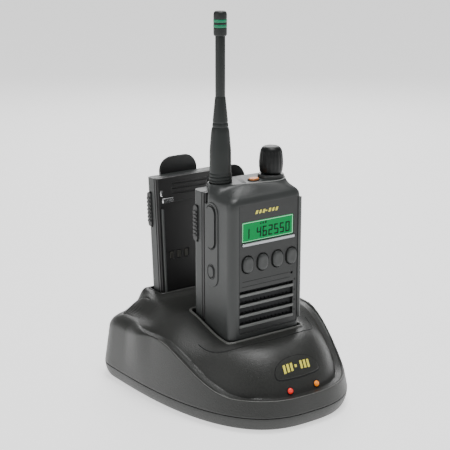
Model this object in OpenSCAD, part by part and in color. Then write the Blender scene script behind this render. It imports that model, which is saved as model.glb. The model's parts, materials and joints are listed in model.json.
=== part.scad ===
// Handheld two-way radio standing in a twin desktop charger, with a spare battery pack behind it.
// The origin is on the ground under the middle of the charger: +Z is up, -Y is the front.

/* [Charger] */
// Greatest width of the charger
charger_w = 134.2; // [133:0.1:136]
// Length of the charger from nose to tail
charger_l = 167.6; // [166:0.1:170]
// Height of the parting line above the ground
tray_top = 9.6; // [8.8:0.1:9.8]
// Thickness of the charger's walls
shell_wall = 2.4; // [2:0.1:2.8]
// Height of the outer ridge at the nose
ridge_low = 20.5; // [19.8:0.1:21]
// Height of the outer ridge beside the pockets
ridge_high = 46; // [44:0.5:47]
// Height of the hump in front of the radio
hump_low = 46; // [44:0.5:47]
// Height of the hump between the pockets
hump_high = 55.5; // [54:0.5:57]

/* [Radio] */
// Width of the radio
radio_w = 57; // [56.4:0.1:57.2]
// Y of the radio's front face
front_y = -34; // [-34.2:0.1:-33.6]
// Height of the radio's underside above the ground
radio_z = 20.7; // [20.6:0.1:21]
// Wall thickness of the radio's housing
case_wall = 2.2; // [2:0.1:2.4]
// Height of the top of the control island above the ground
island_z = 145; // [144.5:0.1:145.5]
// Length of the antenna above the control island
antenna_l = 108.7; // [90:0.1:150]

/* [Controls] */
// Radius of the volume knob
knob_r = 8; // [7.6:0.1:8.2]
// Width of one oval key
key_w = 8.2; // [7.6:0.1:8.4]
// Height of one oval key
key_h = 10.7; // [10:0.1:11.2]
// Travel of the push-to-talk bar
ptt_travel = 1.2; // [0.8:0.1:1.3]
// Radius of the larger accessory socket
big_jack_r = 1.8; // [1.7:0.05:1.9]
// Radius of the smaller accessory socket
small_jack_r = 1.3; // [1.2:0.05:1.4]

/* [Battery pack] */
// Width of the battery pack
pack_w = 56.4; // [56:0.1:56.6]
// Thickness of the battery pack
pack_t = 13.6; // [13.5:0.1:13.6]
// Height of the battery pack
pack_h = 118.3; // [117:0.1:118.6]
// Backward lean of the spare pack
spare_lean = 3.5; // [3.2:0.1:3.8]

/* [Hidden] */
$fn = 48;
CORNERS = 32;

// Colours
SHELL_GREY = "#5b5b57";
RADIO_GREY = "#45484a";
DARK = "#232425";
RUBBER = "#35383a";
STEEL = "#b9bcbf";
BRASS = "#c9a24a";
BOARD_GREEN = "#1f5a3a";

// Charger plan: a superellipse that is widest behind its middle
half_w = charger_w / 2;
wide_y = 52.7;
front_l = charger_l / 2 + wide_y;
rear_l = charger_l / 2 - wide_y;
FRONT_POWER = 2.7;
REAR_POWER = 2.76;
PLAN_STEPS = 60;
ROOF_RINGS = 14;
ridge_inset = 3;
ledge_w = 6;
ledge_drop = 1;
dome_power = 2;
dome_root = 1.15;
dome_run = 24;
hub_y = 14;
part_gap = 0.4;
shell_z = tray_top + part_gap;
feet_h = 1;

// Pockets
pocket_x = radio_w / 2 + 1.5;
pocket_front = front_y - 1.4;
pocket_rear = 12.3;
stop_gap = 0.3;
pocket_floor = radio_z - stop_gap;
well_wall = 2;
floor_t = 2;
spare_y = 45.6;
spare_z = 18.4;
slot_x = pack_w / 2 + 1.1;
slot_front = -1.2;
slot_rear = pack_t + 1.4;

// Badge, lamps, contacts and inlet of the charger
badge_at = [0, -67, 33.8];
badge_tilt = 56;
badge_t = 1.2;
led_x = [-10.5, 10.5];
led_y = -73.3;
led_z = 22.6;
led_tilt = 58;
led_r = 1.7;
contact_x = [-9, 0, 9];
dc_x = 44;
dc_z = 22;
post_hole_r = 1.3;

// Radio
half_r = radio_w / 2;
seam_y = -5;
front_top_z = 138.5;
roof_foot_z = 137.6;
edge_r = 5;
knob_at = [19, -12.5];
aerial_at = [-16.8, -6];
island_a = [15.5, -12, 12.5];
island_b = [-16.5, -7, 9];
key_x = [-14.8, -3, 8.9, 20.3];
key_z = 96;
key_gap = 0.75;
lip_z = [55, 61.9, 68.8, 75.7];
lip_pitch = lip_z[1] - lip_z[0];
lip_t = 1.9;
panel_x = [-22, 25.5];
panel_depth = 0.7;
bezel_y = [-20.1, -6.1];
bezel_z = [78.6, 134.7];
ptt_y = [-17.6, -8.2];
ptt_z = [104.7, 132];
monitor_at = [-13.1, 88.7];
jack_y = -12.75;
jack_z = [108, 96];
hinge_at = [28.3, -8];
screen_z = [110.8, 124.2];
screen_x = [-19.3, 21.8];
speaker_at = [0.5, 64];
mic_at = [20.9, 84.3];
button_seat = -25.9;
flange_t = 0.9;
island_floor = 139.6;
knob_base = island_z + 2.6;
knob_h = 17.8;
collar_h = 2.2;
aerial_base = island_z + 0.2;
boot_h = 55;
cap_h = 15.6;
band_h = 1.9;
band_z = [5.4, 8.6];

// Battery pack, in its own frame: y = 0 is the face that meets the radio
half_p = pack_w / 2;
pack_y = seam_y + 0.3;
pivot_y = 17;
pivot_z = pack_h - 6.3;
pin_r = 1.2;
latch_z = [84.3, 108.3];
latch_y = [7.6, 12];
clip_gap_y = 19.8;
clip_t = 2.1;
tongue_z = 45;

// ---------- helpers ----------

function ease(a, b, v) =
    let (t = min(1, max(0, (v - a) / (b - a)))) t * t * (3 - 2 * t);
function signed_power(v, e) = sign(v) * pow(abs(v), e);
function plan(a, inset) =
    let (power = sin(a) < 0 ? FRONT_POWER : REAR_POWER, reach = sin(a) < 0 ? front_l : rear_l)
    [(half_w - inset) * signed_power(cos(a), 2 / power),
     wide_y + (reach - inset) * signed_power(sin(a), 2 / power)];
function plan_loop(inset) = [for (i = [0:PLAN_STEPS - 1]) plan(i * 360 / PLAN_STEPS, inset)];
function ridge_z(y) =
    ridge_low + (ridge_high - ridge_low) * ease(-64, 2, y) - 4 * ease(45, 78, y);
function hump_z(y) = hump_low + (hump_high - hump_low) * ease(-30, 14, y);
function dome(t) = pow(1 - pow(1 - min(1, max(0, t)), dome_power), 1 / dome_root);
// Height of the charger's top at a point, given how far it lies inside the ridge
function roof_z(x, y, d) =
    let (front = 1 - ease(8, 30, y), run = dome_run + 4 * front - 8 * ease(30, 70, y),
        deck = 0.9 * ease(38, 58, abs(x)) * ease(10, 40, y),
        base = ridge_z(y) - ledge_drop * front * ease(0, 1.5, d))
    base + (hump_z(y) - base) * dome((d - ledge_w * front) / run) * (1 - deck);

module box(a, b) {
    translate(a) cube(b - a);
}

module along_y(y0, y1) {
    translate([0, y1, 0]) rotate([90, 0, 0]) linear_extrude(y1 - y0) children();
}

module along_x(x0, x1) {
    translate([x0, 0, 0]) rotate([90, 0, 90]) linear_extrude(x1 - x0) children();
}

module along_z(z0, z1) {
    translate([0, 0, z0]) linear_extrude(z1 - z0) children();
}

// Rectangle with round corners between two corner points
module round_rect(a, b, r) {
    translate([a[0] + r, a[1]]) square([b[0] - a[0] - 2 * r, b[1] - a[1]]);
    translate([a[0], a[1] + r]) square([b[0] - a[0], b[1] - a[1] - 2 * r]);
    for (x = [a[0] + r, b[0] - r], y = [a[1] + r, b[1] - r]) translate([x, y]) circle(r);
}

// Slot shape with round ends, taller than wide, between two corner points
module stadium(a, b) {
    r = (b[0] - a[0]) / 2;
    translate([a[0], a[1] + r]) square([2 * r, b[1] - a[1] - 2 * r]);
    for (y = [a[1] + r, b[1] - r]) translate([a[0] + r, y]) circle(r);
}

// Closed solid through a stack of loops that all have the same number of points
module loft(rings) {
    n = len(rings[0]);
    points = [for (ring = rings) each ring];
    last = (len(rings) - 1) * n;
    faces = concat(
        [[for (i = [0:n - 1]) i]],
        [for (k = [0:len(rings) - 2], i = [0:n - 1])
            each [[k * n + i, (k + 1) * n + i, (k + 1) * n + (i + 1) % n],
                  [k * n + i, (k + 1) * n + (i + 1) % n, k * n + (i + 1) % n]]],
        [[for (i = [n - 1:-1:0]) last + i]]);
    polyhedron(points = points, faces = faces, convexity = 8);
}

// ---------- charger ----------

// The charger's outer form as a solid, drawn in by `wall` on every side
module charger_form(wall, bottom) {
    foot = [for (p = plan_loop(wall)) [p[0], p[1], bottom]];
    rim = plan_loop(ridge_inset + wall);
    hub = [0, hub_y];
    rings = [for (k = [0:ROOF_RINGS])
        [for (p = rim)
            let (u = k / (ROOF_RINGS + 0.5), q = p + u * (hub - p), d = u * norm(hub - p))
            [q[0], q[1], roof_z(q[0], q[1], d) - wall]]];
    loft(concat([foot], rings));
}

// Everything that reaches down from the charger's roof: pocket walls and screw posts
module charger_wells() {
    hull() along_z(pocket_floor - floor_t, hump_high + 4)
        round_rect([-pocket_x - well_wall, pocket_front - well_wall],
            [pocket_x + well_wall, pocket_rear + well_wall], 5);
    spare_frame() hull() along_z(-stop_gap - floor_t, 46)
        round_rect([-slot_x - well_wall, slot_front - well_wall],
            [slot_x + well_wall, slot_rear + well_wall], 3);
    for (p = post_places()) hull() translate([p[0], p[1], shell_z + 2]) cylinder(r = 3.4, h = 40);
}

function post_places() = [[-49, 42], [49, 42], [-40, -44], [40, -44]];

module charger_top_shell() {
    color(SHELL_GREY) difference() {
        union() {
            difference() {
                charger_form(0, shell_z);
                charger_form(shell_wall, shell_z - 1);
            }
            intersection() {
                charger_form(0, shell_z);
                charger_wells();
            }
        }
        hull() along_z(pocket_floor, 90)
            round_rect([-pocket_x, pocket_front], [pocket_x, pocket_rear], 3.5);
        spare_frame() hull() along_z(-stop_gap, 90)
            round_rect([-slot_x, slot_front], [slot_x, slot_rear], 2);
        badge_place() along_z(-badge_t, 8) badge_outline(0.15);
        for (x = led_x) led_place(x) translate([0, 0, -12]) cylinder(r = led_r + 0.15, h = 24);
        for (p = post_places()) translate([p[0], p[1], shell_z]) cylinder(r = post_hole_r, h = 14);
        translate([dc_x, 60, dc_z]) rotate([-90, 0, 0]) cylinder(r = 4.6, h = 40);
        for (x = contact_x) {
            translate([x - 1.3, 11, 28]) cube([2.6, 4, 10]);
            spare_frame() translate([x - 1.3, pack_t + 0.8, 10]) cube([2.6, 4, 10]);
        }
    }
}

module charger_base_tray() {
    levels = [[feet_h, 3.6], [2.4, 2.2], [5.5, 0.9], [tray_top, 0.2]];
    color(SHELL_GREY) difference() {
        loft([for (l = levels) [for (p = plan_loop(l[1])) [p[0], p[1], l[0]]]]);
        along_z(feet_h + 2.2, tray_top + 1) polygon(plan_loop(shell_wall + 1.6));
        for (p = post_places()) {
            translate([p[0], p[1], 0]) cylinder(r = 1.6, h = 10);
            translate([p[0], p[1], 0]) cylinder(r = 3, h = feet_h + 1.2);
        }
        for (x = [-24:6:24]) box([x - 1, 20, 0], [x + 1, 44, 10]);
    }
}

module charger_feet() {
    color(RUBBER) for (p = [[-44, 58], [44, 58], [-30, -58], [30, -58]])
        translate([p[0], p[1], 0]) cylinder(r = 6, h = feet_h);
}

module charger_screws() {
    color(STEEL) for (p = post_places()) translate([p[0], p[1], 0]) {
        translate([0, 0, feet_h + 0.1]) cylinder(r = 2.7, h = 1.1);
        translate([0, 0, feet_h + 1]) cylinder(r = post_hole_r, h = 20);
    }
}

module badge_place() {
    translate(badge_at) rotate([badge_tilt, 0, 0]) children();
}

// Shield outline: an arched top over a flatter, narrower foot
module badge_outline(grow) {
    intersection() {
        translate([0, -14]) circle(r = 22.5 + grow, $fn = 96);
        translate([0, 34]) circle(r = 41.5 + grow, $fn = 96);
        square([33 + 2 * grow, 40], center = true);
    }
}

module charger_badge() {
    color(SHELL_GREY) badge_place() along_z(-badge_t, 0.2) badge_outline(0);
}

module led_place(x) {
    translate([x, led_y, led_z]) rotate([led_tilt, 0, 0]) children();
}

module led(x) {
    led_place(x) {
        translate([0, 0, -4]) cylinder(r = led_r, h = 4.4);
        intersection() {
            translate([0, 0, 0.4]) sphere(r = led_r);
            translate([0, 0, 0.4]) cylinder(r = 2, h = 3);
        }
    }
}

module led_red() {
    color("#ff4030") led(led_x[0]);
}

module led_amber() {
    color("#ffa020") led(led_x[1]);
}

module charger_board() {
    color(BOARD_GREEN) difference() {
        union() {
            box([-34, -40, 6], [34, 30, 7.6]);
            for (x = [-26, 26]) translate([x, 24, 7.6]) cylinder(r = 4, h = 9);
            box([-12, -24, 7.6], [12, -8, 12]);
            box([-22, 4, 7.6], [-4, 18, 14]);
            for (p = [[-28, -30], [28, -30]]) translate([p[0], p[1], 3.2]) cylinder(r = 2.5, h = 3);
        }
        for (p = [[-28, -30], [28, -30], [-30, 10], [30, 10]])
            translate([p[0], p[1], 0]) cylinder(r = 1.2, h = 20);
    }
}

// One sprung contact blade: a flat tail in the wall and a nose that bulges into the pocket
module contact_blade(face, z) {
    along_x(-1.1, 1.1) polygon([
        [face + 5.4, z], [face + 5.4, z + 8.4], [face + 3.8, z + 8.4],
        [face + 0.3, z + 5.2], [face + 0.3, z + 3.4], [face + 3.8, z]]);
}

module front_pocket_contacts() {
    color(BRASS) for (x = contact_x)
        translate([x, 0, 0]) contact_blade(pack_y + pack_t, 28.8);
}

module rear_pocket_contacts() {
    color(BRASS) spare_frame() for (x = contact_x)
        translate([x, 0, 0]) contact_blade(pack_t, 10.8);
}

module dc_socket() {
    color(DARK) difference() {
        union() {
            translate([dc_x, 64, dc_z]) rotate([-90, 0, 0]) cylinder(r = 4.4, h = 12.6);
            box([dc_x - 5.5, 62, dc_z - 6], [dc_x + 5.5, 72, dc_z + 6]);
        }
        translate([dc_x, 66, dc_z]) rotate([-90, 0, 0]) cylinder(r = 1.9, h = 20);
    }
}

// ---------- radio: housing and fixed pieces ----------

module island_outline(inset) {
    hull() for (c = [island_a, island_b])
        translate([c[0], c[1]]) circle(r = c[2] - inset, $fn = CORNERS);
}

// Hipped roof of the housing: it falls from the island's edge to the rim of the case
module housing_roof() {
    difference() {
        hull() {
            along_z(island_z - 0.4, island_z) island_outline(0);
            along_z(roof_foot_z - 0.5, roof_foot_z)
                round_rect([-half_r + 0.3, front_y + 0.5], [half_r - 0.3, seam_y], 4.6);
        }
        box([-40, seam_y, 130], [40, 20, island_floor - 0.2]);
    }
}

module housing_form() {
    intersection() {
        along_z(radio_z, front_top_z)
            round_rect([-half_r, front_y], [half_r, seam_y + 2 * edge_r], edge_r);
        along_x(-half_r, half_r) polygon(concat(
            [[seam_y, radio_z], [front_y + 1.5, radio_z], [front_y, radio_z + 1.5]],
            [for (a = [180:-12:96])
                [front_y + edge_r + edge_r * cos(a), front_top_z - edge_r + edge_r * sin(a)]],
            [[seam_y, front_top_z]]));
        along_y(front_y, seam_y) round_rect([-half_r, radio_z], [half_r, front_top_z], 4);
    }
}

module key_outline(x, grow) {
    translate([x, key_z]) intersection() {
        square([key_w + 2 * grow, key_h + 2 * grow], center = true);
        union() {
            translate([0, (key_h - key_w) / 2]) circle(r = key_w / 2 + grow);
            translate([0, (key_w - key_h) / 2]) circle(r = key_w / 2 + grow);
            square([key_w + 2 * grow, key_h - key_w], center = true);
        }
    }
}

module front_housing() {
    inner = half_r - case_wall;
    color(RADIO_GREY) difference() {
        union() {
            difference() {
                union() {
                    housing_form();
                    along_z(island_floor, island_z) island_outline(0);
                    housing_roof();
                }
                box([-inner, front_y + case_wall, radio_z + case_wall], [inner, seam_y + 1, 136.5]);
                along_z(136, island_z - case_wall) intersection() {
                    island_outline(case_wall);
                    translate([-30, front_y]) square([60, seam_y - 0.8 - front_y]);
                }
            }
            for (z = [89.8, 114.1]) translate([hinge_at[0], hinge_at[1], z])
                cylinder(r = 1, h = 1.9, center = true);
        }
        // recessed front panel, display opening, key holes, sound slots
        along_y(front_y - 1, front_y + panel_depth)
            round_rect([panel_x[0], 50], [panel_x[1], 135.5], 1.5);
        along_y(front_y - 1, front_y + 4)
            round_rect([screen_x[0], screen_z[0]], [screen_x[1], screen_z[1]], 1);
        for (x = key_x) along_y(front_y - 1, front_y + 4) key_outline(x, key_gap);
        for (z = lip_z) box([-21, front_y - 1, z + lip_t / 2],
            [22, front_y + 4, z + (z == lip_z[3] ? 3 : lip_pitch - lip_t / 2)]);
        translate([mic_at[0], front_y - 1, mic_at[1]]) rotate([-90, 0, 0]) cylinder(r = 0.9, h = 5);
        // left side: bezel recess and button holes
        along_x(-half_r - 1, -half_r + 1)
            stadium([bezel_y[0], bezel_z[0]], [bezel_y[1], bezel_z[1]]);
        along_x(-half_r - 1, -inner + 1)
            stadium([ptt_y[0] - 0.3, ptt_z[0] - 0.3], [ptt_y[1] + 0.3, ptt_z[1] + 0.3]);
        along_x(-half_r - 1, -inner + 1) monitor_outline(0.3);
        // right side: accessory recess, socket opening and hinge bores
        box([26.8, -18.5, 86], [half_r + 1, -6.6, 88.8]);
        box([26.8, -18.5, 88.8], [half_r + 1, -9.1, 115.1]);
        box([26.8, -9.2, 90.8], [half_r + 1, -6.6, 113.1]);
        box([26.8, -18.5, 115.1], [half_r + 1, -6.6, 118]);
        box([inner - 1, -17.2, 89.8], [half_r + 1, -9.3, 114.2]);
        translate([hinge_at[0], hinge_at[1], 80]) cylinder(r = 0.6, h = 44);
        // top: volume bushing, alert button, antenna bushing
        translate([knob_at[0], knob_at[1], 135]) cylinder(r = 3.95, h = 12);
        along_z(135, 147) alert_outline(0.3);
        translate([aerial_at[0], aerial_at[1], 135]) cylinder(r = 4.05, h = 12);
        // screw holes of the chassis
        for (p = chassis_screws()) translate([p[0], seam_y - 12, p[1]])
            rotate([-90, 0, 0]) cylinder(r = 0.9, h = 4);
    }
}

function chassis_screws() = [[-22, 28], [22, 28], [-22, 131], [22, 131]];

module chassis_frame() {
    color("#8c9094") difference() {
        union() {
            box([-26, -7.8, 23.2], [26, seam_y, 136.2]);
            for (x = [-25.9, 24.4]) box([x, -14, 40], [x + 1.5, -7.8, 80]);
        }
        box([-14, -9, 60], [14, seam_y - 1.2, 110]);
        for (p = chassis_screws()) translate([p[0], -9, p[1]])
            rotate([-90, 0, 0]) cylinder(r = 1.1, h = 5);
        for (x = [-18, -12, -6]) translate([x, -9, 84]) rotate([-90, 0, 0]) cylinder(r = 1.6, h = 5);
    }
}

module housing_screws() {
    color(STEEL) for (p = chassis_screws()) translate([p[0], 0, p[1]]) rotate([-90, 0, 0]) {
        translate([0, 0, -12]) cylinder(r = 1, h = 7);
        translate([0, 0, seam_y]) cylinder(r = 1.9, h = 0.25);
    }
}

module display_window() {
    color("#9fd8b4") along_y(front_y + 0.9, front_y + 2.1) round_rect(
        [screen_x[0] + 0.15, screen_z[0] + 0.15], [screen_x[1] - 0.15, screen_z[1] - 0.15], 0.9);
}

module display_module() {
    color("#18a860") box([-18.5, front_y + 2.5, 110.5], [21, front_y + 5.5, 125.5]);
    color(DARK) box([-21, front_y + 5.5, 106], [23.5, front_y + 7, 128]);
}

module display_trim() {
    color(STEEL) along_y(front_y - 0.1, front_y + panel_depth)
        round_rect([screen_x[0], 108.3], [screen_x[1] + 0.8, 110.4], 0.8);
}

module speaker_frame() {
    color(DARK) translate([speaker_at[0], front_y + 3.4, speaker_at[1]]) rotate([-90, 0, 0])
        rotate_extrude($fn = 64) polygon([
            [18, 0], [20, 0], [20, 1.6], [18.4, 1.6], [9, 6], [9, 9.5], [0, 9.5],
            [0, 8], [7, 8], [7, 5.2], [17, 1]]);
}

module speaker_cone() {
    color("#2b2622") translate([speaker_at[0], front_y + 3.4, speaker_at[1]]) rotate([-90, 0, 0])
        rotate_extrude($fn = 64) polygon([
            [0, 1.4], [4, 2.2], [6.4, 4.2], [16, 0.4], [17.3, 0.4], [16.6, 0.8], [6.4, 4.9], [0, 2]]);
}

module speaker_screen() {
    color("#3a3c3d") difference() {
        box([-22, front_y + case_wall + 0.1, 52.5], [24, front_y + case_wall + 0.5, 81]);
        for (x = [-18:3:20], z = [57:3.45:78])
            translate([x, front_y, z]) rotate([-90, 0, 0]) cylinder(r = 0.7, h = 4, $fn = 6);
    }
}

module microphone() {
    color(STEEL) translate([mic_at[0], front_y + case_wall + 0.6, mic_at[1]]) rotate([-90, 0, 0])
        difference() {
            cylinder(r = 2.4, h = 2.6);
            translate([0, 0, -1]) cylinder(r = 0.5, h = 1.6);
        }
}

module main_board() {
    color(BOARD_GREEN) union() {
        box([-23, -19.5, 25], [16, -18.2, 128]);
        for (z = [30:9:66]) box([-18, -21, z], [-9, -19.5, z + 6]);
    }
}

module rf_shield() {
    color(STEEL) difference() {
        box([-20, -18.2, 30], [14, -12, 76]);
        box([-19.6, -18.3, 30.4], [13.6, -12.4, 75.6]);
    }
}

module keypad_mat() {
    color(RUBBER) union() {
        box([-21, front_y + 5.2, 88.5], [25, front_y + 6.4, 103.5]);
        for (x = key_x) translate([x, front_y + 4.3, key_z]) rotate([-90, 0, 0])
            cylinder(r = 2, h = 0.9);
    }
}

module volume_control() {
    color(STEEL) difference() {
        union() {
            translate([knob_at[0], knob_at[1], island_z - 5]) cylinder(r = 3.9, h = 7);
            box([knob_at[0] - 5, knob_at[1] - 4.2, 133.2],
                [knob_at[0] + 5, knob_at[1] + 4.2, island_z - 4.5]);
        }
        translate([knob_at[0], knob_at[1], 135]) cylinder(r = 3.05, h = 20);
    }
}

module knob_collar() {
    color("#75786f") translate([knob_at[0], knob_at[1], island_z]) rotate_extrude($fn = 64)
        polygon([[4, 0], [8.9, 0], [8.6, 1.2], [8.2, collar_h], [4, collar_h]]);
}

module antenna_socket() {
    color(BRASS) translate([aerial_at[0], aerial_at[1], 0]) {
        translate([0, 0, aerial_base - 5.4]) cylinder(r = 4, h = 5.4);
        translate([0, 0, aerial_base - 0.2]) cylinder(r = 2.4, h = 6);
    }
}

module side_bezel() {
    color(RUBBER) difference() {
        along_x(-half_r - 0.6, -half_r + 1)
            stadium([bezel_y[0], bezel_z[0]], [bezel_y[1], bezel_z[1]]);
        along_x(-half_r - 2, -half_r + 2)
            stadium([ptt_y[0] - 0.3, ptt_z[0] - 0.3], [ptt_y[1] + 0.3, ptt_z[1] + 0.3]);
        along_x(-half_r - 2, -half_r + 2) monitor_outline(0.3);
    }
}

module jack_block() {
    color(DARK) difference() {
        box([16.5, -17, 90], [26.7, -9.5, 114]);
        translate([18, jack_y, jack_z[0]]) rotate([0, 90, 0]) cylinder(r = big_jack_r, h = 12);
        translate([18, jack_y, jack_z[1]]) rotate([0, 90, 0]) cylinder(r = small_jack_r, h = 12);
    }
}

// ---------- antenna ----------

module antenna_boot() {
    color("#474b4a") translate([aerial_at[0], aerial_at[1], aerial_base])
        rotate_extrude($fn = 64) polygon([
            [2.4, 0], [7.6, 0], [7.6, 1.4], [7.2, 1.8], [7.5, 2.2], [7.5, 3.6],
            [7.1, 4], [7.4, 4.4], [7.4, 5.8], [7, 6.2], [6.9, 20.8],
            [5.9, 33], [5.35, 35.5], [5, 36], [5.25, 36.6], [5, 38.2], [4.7, 38.6],
            [4.95, 39.2], [3.4, boot_h], [0, boot_h], [0, 6.2], [2.4, 6.2]]);
}

module antenna_whip() {
    color("#474b4a") translate([aerial_at[0], aerial_at[1], aerial_base + boot_h])
        cylinder(r = 3.15, h = antenna_l - boot_h - cap_h);
}

module antenna_cap() {
    groove = [for (z = band_z) each [
        [4.25, z], [3.85, z], [3.85, z + band_h], [4.25, z + band_h]]];
    color("#474b4a") translate([aerial_at[0], aerial_at[1], aerial_base + antenna_l - cap_h])
        rotate_extrude($fn = 64) polygon(concat(
            [[0, 0], [3.6, 0], [4.25, 0.8]], groove,
            [[4.25, 13.4], [3.9, 14.8], [3, cap_h], [0, cap_h]]));
}

module antenna_bands() {
    color("#0c7a48") for (z = band_z)
        translate([aerial_at[0], aerial_at[1], aerial_base + antenna_l - cap_h + z])
            difference() {
                cylinder(r = 4.35, h = band_h);
                translate([0, 0, -1]) cylinder(r = 3.85, h = band_h + 2);
            }
}

// ---------- controls ----------

module volume_knob() {
    color(RUBBER) translate([knob_at[0], knob_at[1], 0]) {
        translate([0, 0, knob_base - 11.1]) cylinder(r = 3, h = 11.6);
        difference() {
            translate([0, 0, knob_base]) rotate_extrude($fn = 64) polygon([
                [0, 0], [knob_r - 1.2, 0], [knob_r - 0.5, 1.2], [knob_r - 0.1, 4], [knob_r, 7],
                [knob_r - 0.3, 11.5], [knob_r - 1, 15.4], [knob_r - 2.4, 17.3],
                [knob_r - 4, knob_h], [0, knob_h]]);
            for (a = [0:20:340]) rotate([0, 0, a]) translate([knob_r + 0.6, 0, knob_base + 3])
                cylinder(r = 0.9, h = 11);
        }
    }
}

module alert_outline(grow) {
    translate([3.9, -14]) rotate(90) stadium([-2.5 - grow, -3.5 - grow], [2.5 + grow, 3.5 + grow]);
}

module alert_button() {
    color("#f08a4a") {
        along_z(island_z - 3.2, island_z + 1.4) alert_outline(0);
        along_z(island_z - 4, island_z - 3.2) alert_outline(0.8);
    }
}

module key(x) {
    color(RUBBER) {
        along_y(front_y - 0.5, front_y + 2.6) key_outline(x, 0);
        along_y(front_y + 2.6, front_y + 3.3) key_outline(x, 1.2);
    }
}

module key_1() {
    key(key_x[0]);
}

module key_2() {
    key(key_x[1]);
}

module key_3() {
    key(key_x[2]);
}

module key_4() {
    key(key_x[3]);
}

module ptt_button() {
    color(RUBBER) {
        along_x(-half_r - ptt_travel - 0.3, button_seat)
            stadium([ptt_y[0], ptt_z[0]], [ptt_y[1], ptt_z[1]]);
        along_x(button_seat, button_seat + flange_t)
            stadium([ptt_y[0], ptt_z[0] - 0.8], [ptt_y[1], ptt_z[1] + 0.8]);
    }
}

module monitor_outline(grow) {
    translate(monitor_at) stadium([-2.75 - grow, -3.75 - grow], [2.75 + grow, 3.75 + grow]);
}

module monitor_button() {
    color(RUBBER) {
        along_x(-half_r - 1.1, button_seat) monitor_outline(0);
        along_x(button_seat, button_seat + flange_t) monitor_outline(0.8);
    }
}

module jack_cover() {
    color(RUBBER) {
        difference() {
            union() {
                box([27, -18.2, 86.3], [28.7, -9.2, 117.7]);
                box([27.5, -9.2, 91.2], [28.7, -8, 112.7]);
                for (z = [89:4:113]) box([28.7, -17.4, z], [29, -11, z + 1.4]);
            }
            translate([hinge_at[0], hinge_at[1], 80]) cylinder(r = 0.5, h = 50);
        }
        translate([hinge_at[0], hinge_at[1], 91.2]) cylinder(r = 1, h = 21.5);
        translate([hinge_at[0], hinge_at[1], 89]) cylinder(r = 0.55, h = 26);
    }
}

// ---------- battery pack, shared by the radio and the spare ----------

module radio_pack_frame() {
    translate([0, pack_y, radio_z]) children();
}

module spare_frame() {
    translate([0, spare_y, spare_z]) rotate([-spare_lean, 0, 0]) children();
}

module pack_cover() {
    difference() {
        union() {
            along_z(0, pack_h) intersection() {
                round_rect([-half_p, -20], [half_p, pack_t], 4);
                translate([-half_p, 3.6]) square([pack_w, pack_t]);
            }
            for (x = [-11.6, 9.2]) {
                along_x(x, x + 2.4) translate([pivot_y, pivot_z]) circle(r = 2.8);
                box([x, pack_t - 1, pivot_z - 2.8], [x + 2.4, pivot_y, pivot_z + 2.8]);
            }
        }
        box([-half_p + 1.7, 2, 1.6], [half_p - 1.7, pack_t - 1.6, pack_h - 1.6]);
        along_x(-20, 20) translate([pivot_y, pivot_z]) circle(r = pin_r);
        for (s = [-1, 1]) box_mirrored(s, [half_p - 2.6, latch_y[0] - 0.3, latch_z[0] - 0.3],
            [half_p + 1, latch_y[1] + 0.3, latch_z[1] + 0.3]);
        for (x = contact_x) box([x - 2.2, pack_t - 1.9, 8], [x + 2.2, pack_t + 1, 20]);
    }
}

module box_mirrored(side, a, b) {
    mirror([side < 0 ? 1 : 0, 0, 0]) box(a, b);
}

module pack_case() {
    difference() {
        union() {
            box([-half_p, 0, 0], [half_p, 3, pack_h]);
            difference() {
                box([-25, 3, 3], [25, 5.4, pack_h - 4]);
                box([-23.8, 2.5, 4.2], [23.8, 6, pack_h - 5.2]);
            }
        }
        box([-half_p + 2.4, -1, 4], [half_p - 2.4, 1, 101]);
        box([-half_p - 1, -1, -1], [-half_p + 1, 1.2, pack_h + 1]);
        box([half_p - 1, -1, -1], [half_p + 1, 1.2, pack_h + 1]);
        for (z = [106:3.4:114]) box([-half_p + 12, -1, z], [half_p - 4, 0.8, z + 1.6]);
        for (x = [-18, -12, -6]) box([x - 2, 0, 60.5], [x + 2, 1.7, 66.5]);
        for (s = [-1, 1]) box_mirrored(s, [16, -1, 102.5], [24, 1, 105]);
    }
}

module pack_cells() {
    for (x = [-23.4, 0.3]) along_z(7, 103) round_rect([x, 5.7], [x + 23.1, pack_t - 2], 2.6);
}

module pack_contacts() {
    for (x = [-18, -12, -6]) box([x - 1.4, 1.1, 61.2], [x + 1.4, 1.7, 65.8]);
    for (x = contact_x) box([x - 2, pack_t - 0.8, 8.2], [x + 2, pack_t, 19.8]);
    for (s = [-1, 1]) box_mirrored(s, [16.2, 0.1, 102.7], [23.8, 1, 104.8]);
}

module pack_pin() {
    along_x(-12, 12) translate([pivot_y, pivot_z]) circle(r = pin_r);
}

// Torsion spring as two stacks of rings round the pin, with a leg on each stack
module pack_spring() {
    for (s = [-1, 1], i = [0:2]) translate([s * (6.2 + i * 0.75), pivot_y, pivot_z])
        rotate([0, 90, 0]) rotate_extrude($fn = 32) translate([1.75, 0]) circle(r = 0.3, $fn = 16);
}

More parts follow.
